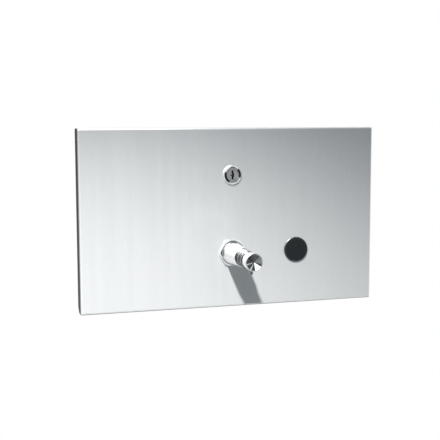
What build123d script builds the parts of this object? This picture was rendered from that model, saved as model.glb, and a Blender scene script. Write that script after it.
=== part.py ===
"""Recessed horizontal soap dispenser: a steel box set in the wall, closed by a door that tilts out
on a bottom hinge and carries the soap tank, the push-in valve, the sight window and the key lock.

Frame: millimetres, +Z up, the room on the -Y side. The wall surface is y = 0 and the origin is the
middle of the door on it. A "depth" is a distance in front of the wall, so it is -y.
"""
import os
from math import asin, cos, degrees, radians, sin, sqrt

from build123d import *

os.makedirs("parts", exist_ok=True)

# ---------------------------------------------------------------- driving dimensions
# Sheet metal
SHEET = 1.2                 # thickness of the door, the box and their brackets
BEND_R = 2.0                # outer radius of the door's bends

# Door pan
DOOR_W, DOOR_H, DOOR_D = 292.0, 171.5, 15.0
DOOR_CORNER_R = 1.6         # outer radius of the pan's welded corners
WALL_GAP = 0.8              # left between the door's returns and the wall

# Recess box in the wall
BOX_W, BOX_H, BOX_DEPTH = DOOR_W - 30.0, DOOR_H - 23.5, 95.0
BOX_CORNER_R = 4.0
FLANGE_W, FLANGE_H = DOOR_W - 10.0, DOOR_H - 11.0
SCREW_SPACING_X, SCREW_SPACING_Z, SCREW_HOLE_R = DOOR_W - 20.5, DOOR_H - 61.5, 2.25

# Hinge along the bottom edge
HINGE_L, KNUCKLES, KNUCKLE_R, PIN_R = DOOR_W - 32.0, 13, 2.5, 1.25
LEAF_T, BOX_LEAF_TOP, LEAF_BEND_GAP = 1.0, 10.25, 2.2
KNUCKLE_WALL_GAP = 1.0      # between the knuckles and the wall surface
KNUCKLE_END_GAP = 0.3       # between neighbouring knuckles
LEAF_GAP = 0.5              # between a leaf's plate and the other leaf's knuckles
RETURN_NOTCH_RISE = 3.0     # how far above the hinge axis the side returns are cut back
RIVET_R, RIVET_HEAD_R, RIVET_HEAD_T, RIVET_TAPER, RIVET_DROP = 1.5, 2.6, 0.9, 20.0, 3.5
DOOR_OPEN_ANGLE = 40.0

# Stays that stop the door
STAY_R, STAY_BAND, STAY_T, STAY_SLOT_R = 67.0, 14.0, 1.5, 2.6
STAY_PIN_R, STAY_PIN_ANGLE, STAY_END_ANGLE, STAY_STOP_GAP = 2.5, 20.0, 71.0, 1.0
STAY_SIDE_GAP = 4.55        # between a stay and the side wall of the box
STAY_FOOT_W, STAY_FOOT_H, STAY_FOOT_RISE, STAY_END_R = 12.0, 34.0, 66.25, 5.0
STAY_PIN_NECK_R, STAY_HEAD_GAP, STAY_HEAD_T, STAY_HEAD_R = 2.0, 0.55, 1.6, 4.1
STAY_TAIL_R, STAY_TAIL_T = 3.6, 0.9

# Rubber bumpers on the flange
BUMPER_R, BUMPER_Z, BUMPER_GAP, BUMPER_TAPER, BUMPER_EDGE_R = 4.4, FLANGE_H / 2 - 10.25, 0.3, 4.0, 1.0

# Cradle under the tank
CRADLE_W, CRADLE_LIP, CRADLE_FLANGE_BOTTOM = DOOR_W - 92.0, 13.0, 6.75 - DOOR_H / 2
CRADLE_SLOT_L, CRADLE_SLOT_W, CRADLE_SLOT_PITCH, CRADLE_SLOT_Y = 46.0, 24.0, CRADLE_W / 2 - 35.0, 24.0
CRADLE_STUD_RISE = 6.0      # from the bottom of the cradle's flange up to its studs

# Soap tank
TANK_W, TANK_WALL = DOOR_W - 56.0, 2.2
TANK_BOTTOM, TANK_TOP, TANK_BACK = 19.75 - DOOR_H / 2, DOOR_H / 2 - 71.75, 60.0
TANK_CORNER_R, TANK_BOTTOM_R = 8.0, 5.0
GASKET_T, COVER_T = 1.0, 2.0
RIM_W, RIM_CORNER_R, COVER_EDGE_R = 6.0, 2.5, 0.9
BOSS_R, BOSS_H, BOSS_INSET, BOSS_FLOOR = 3.6, 12.0, 5.7, 2.0
COVER_SCREW_R, COVER_SCREW_END, COVER_HOLE_GAP = 1.2, 3.0, 0.3
COVER_HEAD_R, COVER_HEAD_T, COVER_HEAD_TAPER = 2.6, 1.8, 12.0
CROSS_L, CROSS_W, CROSS_DEPTH = 3.0, 0.7, 1.0

# Filler mouth and its lid
MOUTH_W, MOUTH_D, MOUTH_Y, MOUTH_CORNER_R, NECK_H, NECK_T = 130.0, 23.0, 36.0, 3.0, 3.0, 2.0
LID_AXIS_Y, LID_AXIS_RISE, LID_KNUCKLE_R, LID_PIN_R = 54.5, 5.0, 2.6, 1.0
LID_W, LID_FRONT_Y, LID_T, LID_BLOCK_W, LID_REST_GAP = 148.0, 22.5, 2.0, 8.0, 0.3
LID_CORNER_R, LID_EDGE_R, LID_PIN_PROUD, LID_TAB_W, LID_TAB_D = 5.0, 0.6, 0.5, 26.0, 3.0
LID_RIM_GAP, LID_RIM_W = 1.0, 2.0

# Push-in valve
VALVE_Z = 52.45 - DOOR_H / 2
HEX_AF, HEX_T, HEX_CHAMFER_L, HEX_CHAMFER_W = 24.4, 3.4, 1.6, 2.6
BARREL_R, BARREL_TIP_R, BARREL_L, BARREL_BORE_R, BARREL_FLOOR = 9.5, 9.0, 35.0, 8.25, 6.0
COLLAR_W, COLLAR_L = 1.1, 1.0
SHANK_R, SHANK_END_DEPTH, SHANK_SOCKET_R, SHANK_SOCKET_L = 8.0, 2.0, 6.5, 7.0
STROKE = 10.0
HEAD_BACK_L, HEAD_FRONT_L, HEAD_R = 54.0, 66.0, 8.1
PLUNGER_TAIL = 18.0         # length of plunger hidden in the barrel at rest
PLUNGER_GROOVES = ((40.2, 0.7, 0.5), (46.4, 0.9, 0.6), (49.2, 0.7, 0.5))    # place, width, depth
NOTCH_W, NOTCH_L, NOTCH_DEPTH = 4.2, 3.2, 3.4
CAP_EDGE, CAP_RIM_W, CAP_DISH = 0.5, 0.4, 1.1
STEM_R, STEM_BORE_R, STEM_FOOT_R, STEM_FOOT_T = 3.0, 1.2, 4.4, 2.0
NOZZLE_R, NOZZLE_BORE_R, NOZZLE_L, NOZZLE_DROP, NOZZLE_SEAT, NOZZLE_EDGE_R = 1.9, 1.1, 56.6, 12.4, 4.0, 0.6
SPRING_R, SPRING_WIRE_R, SPRING_COILS, SPRING_SEAT_L = 6.1, 0.55, 8, 44.0
SPRING_END_GAP, SPRING_SIDE_GAP = 0.1, 0.35
CHAMBER_R, CHAMBER_FRONT_Y, CHAMBER_BACK_Y, CYLINDER_R, CYLINDER_BACK_Y = 7.0, 2.0, 34.0, 10.0, 40.0
CYLINDER_GROOVES, CYLINDER_GROOVE_W, CYLINDER_GROOVE_T = (4.0, 8.0), 1.2, 0.4
END_CAP_T, END_CAP_RIM, INLET_RING_R, INLET_HOLES, INLET_HOLE_R = 3.0, 1.0, 3.6, 6, 1.1
FLAP_R, FLAP_STEM_R, FLAP_T, FLAP_HUB_T = 5.4, 1.2, 0.6, 1.6
STRAINER_L, STRAINER_T, STRAINER_END_R, STRAINER_HOLE_R = 7.0, 1.0, 2.0, 0.8
STRAINER_RINGS = ((2.6, 6), (5.4, 12))      # radius, holes
PISTON_L, PISTON_GAP, SEAL_GROOVE_R, SEAL_L = 6.0, 0.3, 5.2, 3.0

# Sight window
WINDOW_X, WINDOW_Z = 65.0, VALVE_Z + 0.3
WINDOW_R, WINDOW_PROUD, WINDOW_SHANK_R, WINDOW_BORE_R, WINDOW_END_DEPTH = 12.2, 2.0, 9.5, 7.0, 3.0
WINDOW_EDGE_R, WINDOW_FACE_T = 1.1, 1.0

# Key lock
LOCK_Z = DOOR_H / 2 - 44.75
LOCK_HEAD_R, LOCK_PROUD, LOCK_BODY_R, LOCK_END_Y, LOCK_NUT_AF = 9.4, 3.0, 8.0, 6.0, 22.0
PLUG_R, PLUG_SINK, PLUG_TAIL, KEYWAY_DEPTH, SQUARE = 6.0, 0.7, 0.6, 8.0, 6.0
PLUG_RING_R, PLUG_RING_W, PLUG_RING_DEPTH = 4.9, 0.4, 0.3
KEYWAY_W, KEYWAY_STEPS = 1.3, ((-0.35, 2.6, 3.4), (0.35, 0.0, 3.4), (-0.2, -2.6, 3.2))    # x, z, height
CAM_L, CAM_W, CAM_T, CAM_Y, CAM_TIP_L, CAM_TIP_STEP = 30.0, 14.0, 2.0, 8.0, 3.0, 4.0
CAM_WASHER_R, CAM_WASHER_T, CAM_SCREW_AF, CAM_SCREW_T = 5.2, 1.0, 7.0, 2.6
STRIKE_GAP, STRIKE_W, STRIKE_DROP = 1.0, 40.0, 10.8
STRIKE_RIVET_X, STRIKE_RIVET_Y, STRIKE_RIVET_R, STRIKE_HEAD_R = 13.0, 2.9, 1.6, 2.7
STRIKE_CORNER, STRIKE_FRONT = 2.0, 0.5

# Nuts and clearances
NUT_T, STUD_R, STUD_L, STUD_NUT_AF, STUD_NUT_T = 4.0, 2.0, 7.0, 7.0, 3.2
WASHER_T, SHANK_NUT_T, NUT_CHAMFER = 1.5, 5.0, 0.6
END_CHAMFER = 0.4           # on the ends of studs, screws and plugs
RUN_FIT = 0.05              # radial clearance of a pin or shaft that turns
SLIDE_FIT = 0.1             # radial clearance of a shaft that slides
HOLE_FIT = 0.1              # radial clearance of a fixed body in its hole
PAST = 1.0                  # how far a cutter reaches past the metal it cuts

# ---------------------------------------------------------------- places worked out from them
DOOR_INNER = DOOR_D - SHEET                 # depth of the door's inner face
TANK_FRONT = DOOR_INNER - GASKET_T          # depth of the tank's front face
TANK_INNER = TANK_FRONT - TANK_WALL         # depth of the inside of its front wall
TANK_D = TANK_BACK + TANK_FRONT
TANK_MID_Y = (TANK_BACK - TANK_FRONT) / 2
BOX_IN_X, BOX_IN_Z = BOX_W / 2 - SHEET, BOX_H / 2 - SHEET
HINGE_DEPTH = KNUCKLE_WALL_GAP + KNUCKLE_R
HINGE_Z = -DOOR_H / 2 + KNUCKLE_R
DOOR_LEAF_REACH = DOOR_D - LEAF_BEND_GAP - HINGE_DEPTH      # from the hinge axis to the leaf's front edge
PITCH = HINGE_L / KNUCKLES
PIN_BORE_R = PIN_R + RUN_FIT
STAY_X = BOX_IN_X - STAY_SIDE_GAP - STAY_T  # inner face of the right-hand stay
STAY_PIN_Y = STAY_R * sin(radians(STAY_PIN_ANGLE)) - HINGE_DEPTH
STAY_PIN_Z = STAY_R * cos(radians(STAY_PIN_ANGLE)) + HINGE_Z
COVER_Z = TANK_TOP + GASKET_T
COVER_TOP = COVER_Z + COVER_T
LID_AXIS_Z = COVER_TOP + LID_AXIS_RISE
PLUNGER_R = BARREL_BORE_R - SLIDE_FIT
CAM_FRONT_Y = CAM_Y
CRADLE_STUDS = [(CRADLE_W * part, CRADLE_FLANGE_BOTTOM + CRADLE_STUD_RISE) for part in (-0.4, -0.15, 0.15, 0.4)]
STAY_STUD_X = STAY_X + STAY_T + STAY_FOOT_W / 2
STAY_FOOT_Z = HINGE_Z + STAY_FOOT_RISE
STAY_STUDS = [(side * STAY_STUD_X, STAY_FOOT_Z + dz) for side in (-1, 1) for dz in (-10.0, 10.0)]
COVER_SCREWS = [
    (side * (TANK_W / 2 - BOSS_INSET), y)
    for side in (-1, 1)
    for y in (BOSS_INSET - TANK_FRONT, TANK_BACK - BOSS_INSET)
]
HINGE_RIVETS = [PITCH * place for place in (-5.5, -3.3, -1.1, 1.1, 3.3, 5.5)]
HINGE_RIVET_Z = HINGE_Z + BOX_LEAF_TOP - RIVET_DROP
LEAF_PLATE_BOTTOM = KNUCKLE_R + LEAF_GAP


def facing(x, depth, z):
    """Plane that faces the room, with its origin at x and z, a depth in front of the wall."""
    return Plane(origin=(x, -depth, z), x_dir=(1, 0, 0), z_dir=(0, -1, 0))


def along(x, z):
    """Plane through the axis of a turned piece: its x is the depth, its y is the radius."""
    return Plane(origin=(x, 0, z), x_dir=(0, -1, 0), z_dir=(1, 0, 0))


def turning_axis(x, z):
    """Axis of a turned piece, pointing into the room."""
    return Axis((x, 0, z), (0, -1, 0))


def across(x, y, z):
    """Plane that faces +X: its x is the world's +Y and its y is the world's +Z."""
    return Plane(origin=(x, y, z), x_dir=(0, 1, 0), z_dir=(1, 0, 0))


def save(piece, name):
    """Name a finished piece and write its STEP file."""
    piece.part.label = name
    export_step(piece.part, f"parts/{name}.step")


# ================================================================ body: the box in the wall
with BuildPart() as recess_box:
    with BuildSketch(facing(0, -BOX_DEPTH, 0)):
        RectangleRounded(BOX_W, BOX_H, BOX_CORNER_R)
    extrude(amount=BOX_DEPTH)
    with BuildSketch(facing(0, 0, 0)):
        RectangleRounded(FLANGE_W, FLANGE_H, BOX_CORNER_R)
    extrude(amount=SHEET)
    with BuildSketch(facing(0, SHEET, 0)):
        RectangleRounded(2 * BOX_IN_X, 2 * BOX_IN_Z, BOX_CORNER_R - SHEET)
    extrude(amount=-BOX_DEPTH, mode=Mode.SUBTRACT)
    with BuildSketch(facing(0, SHEET, 0)):
        with GridLocations(SCREW_SPACING_X, SCREW_SPACING_Z, 2, 2):
            Circle(SCREW_HOLE_R)
    extrude(amount=-SHEET, mode=Mode.SUBTRACT)
    with BuildSketch(facing(0, SHEET, HINGE_RIVET_Z)):
        with Locations(*[(x, 0) for x in HINGE_RIVETS]):
            Circle(RIVET_R)
    extrude(amount=-SHEET, mode=Mode.SUBTRACT)
    with BuildSketch(across(-BOX_W / 2, STAY_PIN_Y, STAY_PIN_Z)):
        Circle(STAY_PIN_NECK_R)
    extrude(amount=BOX_W, mode=Mode.SUBTRACT)
    with BuildSketch(Plane.XY.offset(BOX_IN_Z)):
        with Locations((-STRIKE_RIVET_X, STRIKE_RIVET_Y), (STRIKE_RIVET_X, STRIKE_RIVET_Y)):
            Circle(STRIKE_RIVET_R)
    extrude(amount=SHEET, mode=Mode.SUBTRACT)
save(recess_box, "recess_box")

with BuildPart() as box_hinge_leaf:
    leaf_back = HINGE_DEPTH - SHEET
    with BuildSketch(across(-HINGE_L / 2, -HINGE_DEPTH, HINGE_Z)):
        with Locations((leaf_back - LEAF_T, LEAF_PLATE_BOTTOM)):
            Rectangle(LEAF_T, BOX_LEAF_TOP - LEAF_PLATE_BOTTOM, align=(Align.MIN, Align.MIN))
    extrude(amount=HINGE_L)
    for index in range(0, KNUCKLES, 2):
        start = -HINGE_L / 2 + index * PITCH + KNUCKLE_END_GAP / 2
        with BuildSketch(across(start, -HINGE_DEPTH, HINGE_Z)):
            Circle(KNUCKLE_R)
            with Locations((leaf_back - LEAF_T, 0)):
                Rectangle(LEAF_T, LEAF_PLATE_BOTTOM, align=(Align.MIN, Align.MIN))
        extrude(amount=PITCH - KNUCKLE_END_GAP)
    with BuildSketch(across(-HINGE_L / 2, -HINGE_DEPTH, HINGE_Z)):
        Circle(PIN_BORE_R)
    extrude(amount=HINGE_L, mode=Mode.SUBTRACT)
    with BuildSketch(facing(0, SHEET, HINGE_RIVET_Z)):
        with Locations(*[(x, 0) for x in HINGE_RIVETS]):
            Circle(RIVET_R)
    extrude(amount=LEAF_T, mode=Mode.SUBTRACT)
save(box_hinge_leaf, "box_hinge_leaf")

with BuildPart() as hinge_pin:
    with BuildSketch(across(-HINGE_L / 2 - 1, -HINGE_DEPTH, HINGE_Z)):
        Circle(PIN_R)
    extrude(amount=HINGE_L + 2)
    chamfer(hinge_pin.edges().filter_by(GeomType.CIRCLE), 0.3)
save(hinge_pin, "hinge_pin")

with BuildPart() as hinge_rivets:
    for x in HINGE_RIVETS:
        with BuildSketch(facing(x, 0, HINGE_RIVET_Z)):
            Circle(RIVET_R)
        extrude(amount=SHEET + LEAF_T)
        with BuildSketch(facing(x, SHEET + LEAF_T, HINGE_RIVET_Z)):
            Circle(RIVET_HEAD_R)
        extrude(amount=RIVET_HEAD_T, taper=RIVET_TAPER)
save(hinge_rivets, "hinge_rivets")

with BuildPart() as strike_plate:
    strike_back = CAM_FRONT_Y - STRIKE_GAP
    with BuildSketch(across(-STRIKE_W / 2, strike_back, BOX_IN_Z)):
        Rectangle(SHEET, STRIKE_DROP, align=(Align.MAX, Align.MAX))
        Rectangle(strike_back + STRIKE_FRONT, SHEET, align=(Align.MAX, Align.MAX))
    extrude(amount=STRIKE_W)
    with BuildSketch(Plane.XY.offset(BOX_IN_Z)):
        with Locations((-STRIKE_RIVET_X, STRIKE_RIVET_Y), (STRIKE_RIVET_X, STRIKE_RIVET_Y)):
            Circle(STRIKE_RIVET_R)
    extrude(amount=-SHEET, mode=Mode.SUBTRACT)
    chamfer(strike_plate.edges().filter_by(Axis.Y).group_by(Axis.Z)[0], STRIKE_CORNER)
save(strike_plate, "strike_plate")

with BuildPart() as strike_rivets:
    for x in (-STRIKE_RIVET_X, STRIKE_RIVET_X):
        with BuildSketch(Plane.XY.offset(BOX_IN_Z - SHEET)):
            with Locations((x, STRIKE_RIVET_Y)):
                Circle(STRIKE_RIVET_R)
        extrude(amount=2 * SHEET)
        with BuildSketch(Plane.XY.offset(BOX_IN_Z - SHEET)):
            with Locations((x, STRIKE_RIVET_Y)):
                Circle(STRIKE_HEAD_R)
        extrude(amount=-RIVET_HEAD_T, taper=RIVET_TAPER)
save(strike_rivets, "strike_rivets")

with BuildPart() as stay_pins:
    head_x, outside = STAY_X - STAY_HEAD_GAP, BOX_W / 2
    for side in (-1, 1):
        profile = [
            (outside + STAY_TAIL_T, 0), (outside + STAY_TAIL_T, STAY_TAIL_R - END_CHAMFER), (outside, STAY_TAIL_R),
            (outside, STAY_PIN_NECK_R), (BOX_IN_X, STAY_PIN_NECK_R), (BOX_IN_X, STAY_PIN_R),
            (head_x, STAY_PIN_R), (head_x, STAY_HEAD_R),
            (head_x - STAY_HEAD_T, STAY_HEAD_R - END_CHAMFER), (head_x - STAY_HEAD_T, 0),
        ]
        with BuildSketch(Plane(origin=(0, STAY_PIN_Y, STAY_PIN_Z), x_dir=(side, 0, 0), z_dir=(0, 1, 0))):
            with BuildLine():
                Polyline(*profile, close=True)
            make_face()
        revolve(axis=Axis((0, STAY_PIN_Y, STAY_PIN_Z), (1, 0, 0)))
save(stay_pins, "stay_pins")

with BuildPart() as door_bumpers:
    bumper_l = DOOR_INNER - SHEET - BUMPER_GAP
    for side in (-1, 1):
        with BuildSketch(facing(side * SCREW_SPACING_X / 2, SHEET, BUMPER_Z)):
            Circle(BUMPER_R)
        extrude(amount=bumper_l, taper=BUMPER_TAPER)
    fillet(door_bumpers.faces().filter_by(Axis.Y).group_by(Axis.Y)[0].edges(), BUMPER_EDGE_R)
save(door_bumpers, "door_bumpers")

# ================================================================ body: the tilting door
LOCK_HOLE_R = LOCK_BODY_R + HOLE_FIT
VALVE_HOLE_R = SHANK_R + HOLE_FIT
WINDOW_HOLE_R = WINDOW_SHANK_R + HOLE_FIT
RETURN_EDGE = HINGE_DEPTH + KNUCKLE_R + LEAF_GAP    # depth at which the bottom return stops

with BuildPart() as door_panel:
    with BuildSketch(facing(0, WALL_GAP, 0)):
        RectangleRounded(DOOR_W, DOOR_H, DOOR_CORNER_R)
    extrude(amount=DOOR_D - WALL_GAP)
    fillet(door_panel.faces().sort_by(Axis.Y)[0].edges(), BEND_R)
    offset(amount=-SHEET, openings=door_panel.faces().sort_by(Axis.Y)[-1])
    notch_top = DOOR_H / 2 + HINGE_Z + RETURN_NOTCH_RISE
    with BuildSketch(across(-DOOR_W / 2, 0, -DOOR_H / 2)):
        with BuildLine():
            Polyline(
                (PAST, notch_top), (-WALL_GAP, notch_top),
                (-RETURN_EDGE, SHEET + LEAF_GAP), (-RETURN_EDGE, -PAST), (PAST, -PAST), close=True,
            )
        make_face()
    extrude(amount=DOOR_W, mode=Mode.SUBTRACT)
    for x, z, radius in (
        (0, LOCK_Z, LOCK_HOLE_R), (0, VALVE_Z, VALVE_HOLE_R), (WINDOW_X, WINDOW_Z, WINDOW_HOLE_R)
    ):
        with BuildSketch(facing(x, DOOR_D, z)):
            Circle(radius)
        extrude(amount=-SHEET, mode=Mode.SUBTRACT)
save(door_panel, "door_panel")

with BuildPart() as door_hinge_leaf:
    plate_z = -DOOR_H / 2 + SHEET - HINGE_Z
    with BuildSketch(across(-HINGE_L / 2, -HINGE_DEPTH, HINGE_Z)):
        with Locations((-LEAF_PLATE_BOTTOM, plate_z)):
            Rectangle(DOOR_LEAF_REACH - LEAF_PLATE_BOTTOM, LEAF_T, align=(Align.MAX, Align.MIN))
    extrude(amount=HINGE_L)
    for index in range(1, KNUCKLES, 2):
        start = -HINGE_L / 2 + index * PITCH + KNUCKLE_END_GAP / 2
        with BuildSketch(across(start, -HINGE_DEPTH, HINGE_Z)):
            Circle(KNUCKLE_R)
            with Locations((0, plate_z)):
                Rectangle(LEAF_PLATE_BOTTOM, LEAF_T, align=(Align.MAX, Align.MIN))
        extrude(amount=PITCH - KNUCKLE_END_GAP)
    with BuildSketch(across(-HINGE_L / 2, -HINGE_DEPTH, HINGE_Z)):
        Circle(PIN_BORE_R)
    extrude(amount=HINGE_L, mode=Mode.SUBTRACT)
save(door_hinge_leaf, "door_hinge_leaf")

with BuildPart() as tank_cradle:
    shelf_z = TANK_BOTTOM - SHEET
    with BuildSketch(across(-CRADLE_W / 2, 0, 0)):
        with Locations((-DOOR_INNER, CRADLE_FLANGE_BOTTOM)):
            Rectangle(SHEET, TANK_BOTTOM - CRADLE_FLANGE_BOTTOM, align=(Align.MIN, Align.MIN))
        with Locations((-DOOR_INNER, shelf_z)):
            Rectangle(DOOR_INNER + TANK_BACK + SHEET, SHEET, align=(Align.MIN, Align.MIN))
        with Locations((TANK_BACK, shelf_z)):
            Rectangle(SHEET, CRADLE_LIP, align=(Align.MIN, Align.MIN))
    extrude(amount=CRADLE_W)
    with BuildSketch(facing(0, DOOR_INNER, 0)):
        with Locations(*CRADLE_STUDS):
            Circle(STUD_R + HOLE_FIT)
    extrude(amount=-SHEET, mode=Mode.SUBTRACT)
    with BuildSketch(Plane.XY.offset(shelf_z)):
        with Locations(*[(x, CRADLE_SLOT_Y) for x in (-CRADLE_SLOT_PITCH, 0, CRADLE_SLOT_PITCH)]):
            SlotOverall(CRADLE_SLOT_L, CRADLE_SLOT_W)
    extrude(amount=SHEET, mode=Mode.SUBTRACT)
save(tank_cradle, "tank_cradle")

for side, name in ((-1, "stay_plate_left"), (1, "stay_plate_right")):
    start_x = STAY_X if side > 0 else -STAY_X - STAY_T
    outer, inner = STAY_R + STAY_BAND / 2, STAY_R - STAY_BAND / 2
    reach = DOOR_INNER - HINGE_DEPTH
    first = {radius: 90 + degrees(asin(reach / radius)) for radius in (inner, outer)}
    last = 90 - STAY_END_ANGLE
    stop_angle = degrees(asin((STAY_STOP_GAP + STAY_SLOT_R - STAY_PIN_R) / STAY_R))
    with BuildPart() as stay_plate:
        with BuildSketch(across(start_x, -HINGE_DEPTH, HINGE_Z)):
            with BuildLine():
                top = CenterArc((0, 0), outer, last, first[outer] - last)
                bottom = CenterArc((0, 0), inner, last, first[inner] - last)
                Line(top @ 0, bottom @ 0)
                Line(top @ 1, bottom @ 1)
            make_face()
        extrude(amount=STAY_T)
        fillet(stay_plate.edges().filter_by(Axis.X).group_by(Axis.Y)[-1], STAY_END_R)
        fillet(stay_plate.edges().filter_by(Axis.X).sort_by(Axis.Z)[0], STAY_END_R)
        with BuildSketch(across(start_x, -HINGE_DEPTH, HINGE_Z)):
            slot_start = 90 - STAY_PIN_ANGLE + stop_angle
            slot_sweep = -(DOOR_OPEN_ANGLE + 2 * stop_angle)
            SlotArc(Edge.make_circle(STAY_R, Plane.XY, slot_start + slot_sweep, slot_start), 2 * STAY_SLOT_R)
        extrude(amount=STAY_T, mode=Mode.SUBTRACT)
        foot_x = start_x if side > 0 else start_x + STAY_T
        with BuildSketch(facing(foot_x, DOOR_INNER, STAY_FOOT_Z)):
            foot_align = Align.MIN if side > 0 else Align.MAX
            Rectangle(STAY_FOOT_W + STAY_T, STAY_FOOT_H, align=(foot_align, Align.CENTER))
        extrude(amount=-SHEET)
        with BuildSketch(facing(0, DOOR_INNER, 0)):
            with Locations(*STAY_STUDS):
                Circle(STUD_R + HOLE_FIT)
        extrude(amount=-SHEET, mode=Mode.SUBTRACT)
    save(stay_plate, name)

with BuildPart() as door_studs:
    with BuildSketch(facing(0, DOOR_INNER, 0)):
        with Locations(*CRADLE_STUDS, *STAY_STUDS):
            Circle(STUD_R)
    extrude(amount=-STUD_L)
    chamfer(door_studs.faces().filter_by(Axis.Y).group_by(Axis.Y)[-1].edges(), END_CHAMFER)
save(door_studs, "door_studs")

with BuildPart() as stud_nuts:
    with BuildSketch(facing(0, DOOR_INNER - SHEET, 0)):
        with Locations(*CRADLE_STUDS, *STAY_STUDS):
            RegularPolygon(STUD_NUT_AF / 2, 6, major_radius=False)
            Circle(STUD_R, mode=Mode.SUBTRACT)
    extrude(amount=-STUD_NUT_T)
save(stud_nuts, "stud_nuts")

with BuildPart() as tank:
    with BuildSketch(Plane.XY.offset(TANK_BOTTOM)):
        with Locations((0, TANK_MID_Y)):
            RectangleRounded(TANK_W, TANK_D, TANK_CORNER_R)
    extrude(amount=TANK_TOP - TANK_BOTTOM)
    fillet(tank.faces().sort_by(Axis.Z)[0].edges(), TANK_BOTTOM_R)
    offset(amount=-TANK_WALL, openings=tank.faces().sort_by(Axis.Z)[-1])
    with BuildSketch(Plane.XY.offset(TANK_TOP)):
        with Locations(*COVER_SCREWS):
            Circle(BOSS_R)
    extrude(amount=-BOSS_H)
    with BuildSketch(Plane.XY.offset(TANK_TOP)):
        with Locations(*COVER_SCREWS):
            Circle(COVER_SCREW_R)
    extrude(amount=BOSS_FLOOR - BOSS_H, mode=Mode.SUBTRACT)
    for x, z, radius in ((0, VALVE_Z, VALVE_HOLE_R), (WINDOW_X, WINDOW_Z, WINDOW_HOLE_R)):
        with BuildSketch(facing(x, TANK_FRONT, z)):
            Circle(radius)
        extrude(amount=-TANK_WALL, mode=Mode.SUBTRACT)
save(tank, "tank")

with BuildPart() as cover_gasket:
    with BuildSketch(Plane.XY.offset(TANK_TOP)):
        with Locations((0, TANK_MID_Y)):
            RectangleRounded(TANK_W, TANK_D, TANK_CORNER_R)
            RectangleRounded(TANK_W - 2 * RIM_W, TANK_D - 2 * RIM_W, RIM_CORNER_R, mode=Mode.SUBTRACT)
        with Locations(*COVER_SCREWS):
            Circle(BOSS_R)
            Circle(COVER_SCREW_R + COVER_HOLE_GAP, mode=Mode.SUBTRACT)
    extrude(amount=GASKET_T)
save(cover_gasket, "cover_gasket")

LID_BLOCKS = [-(LID_W - LID_BLOCK_W) / 2, 0.0, (LID_W - LID_BLOCK_W) / 2]
with BuildPart() as tank_cover:
    with BuildSketch(Plane.XY.offset(COVER_Z)):
        with Locations((0, TANK_MID_Y)):
            RectangleRounded(TANK_W, TANK_D, TANK_CORNER_R)
        with Locations(*COVER_SCREWS):
            Circle(COVER_SCREW_R + COVER_HOLE_GAP, mode=Mode.SUBTRACT)
    extrude(amount=COVER_T)
    fillet(tank_cover.faces().sort_by(Axis.Z)[-1].outer_wire().edges(), COVER_EDGE_R)
    with BuildSketch(Plane.XY.offset(COVER_TOP)):
        with Locations((0, MOUTH_Y)):
            RectangleRounded(MOUTH_W + 2 * NECK_T, MOUTH_D + 2 * NECK_T, MOUTH_CORNER_R + NECK_T)
    extrude(amount=NECK_H)
    for x in LID_BLOCKS:
        with BuildSketch(across(x - LID_BLOCK_W / 2, LID_AXIS_Y, LID_AXIS_Z)):
            Circle(LID_KNUCKLE_R)
            Rectangle(2 * LID_KNUCKLE_R, LID_AXIS_RISE, align=(Align.CENTER, Align.MAX))
        extrude(amount=LID_BLOCK_W)
    with BuildSketch(Plane.XY.offset(COVER_Z)):
        with Locations((0, MOUTH_Y)):
            RectangleRounded(MOUTH_W, MOUTH_D, MOUTH_CORNER_R)
    extrude(amount=COVER_T + NECK_H, mode=Mode.SUBTRACT)
    with BuildSketch(across(-LID_W / 2, LID_AXIS_Y, LID_AXIS_Z)):
        Circle(LID_PIN_R)
    extrude(amount=LID_W, mode=Mode.SUBTRACT)
save(tank_cover, "tank_cover")

with BuildPart() as cover_screws:
    with BuildSketch(Plane.XY.offset(TANK_TOP - BOSS_H + COVER_SCREW_END)):
        with Locations(*COVER_SCREWS):
            Circle(COVER_SCREW_R)
    extrude(amount=BOSS_H - COVER_SCREW_END + GASKET_T + COVER_T)
    with BuildSketch(Plane.XY.offset(COVER_TOP)):
        with Locations(*COVER_SCREWS):
            Circle(COVER_HEAD_R)
    extrude(amount=COVER_HEAD_T, taper=COVER_HEAD_TAPER)
    with BuildSketch(Plane.XY.offset(COVER_TOP + COVER_HEAD_T)):
        with Locations(*COVER_SCREWS):
            Rectangle(CROSS_L, CROSS_W)
            Rectangle(CROSS_W, CROSS_L)
    extrude(amount=-CROSS_DEPTH, mode=Mode.SUBTRACT)
save(cover_screws, "cover_screws")

with BuildPart() as lid_pin:
    with BuildSketch(across(-LID_W / 2 - LID_PIN_PROUD, LID_AXIS_Y, LID_AXIS_Z)):
        Circle(LID_PIN_R)
    extrude(amount=LID_W + 2 * LID_PIN_PROUD)
save(lid_pin, "lid_pin")

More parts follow.
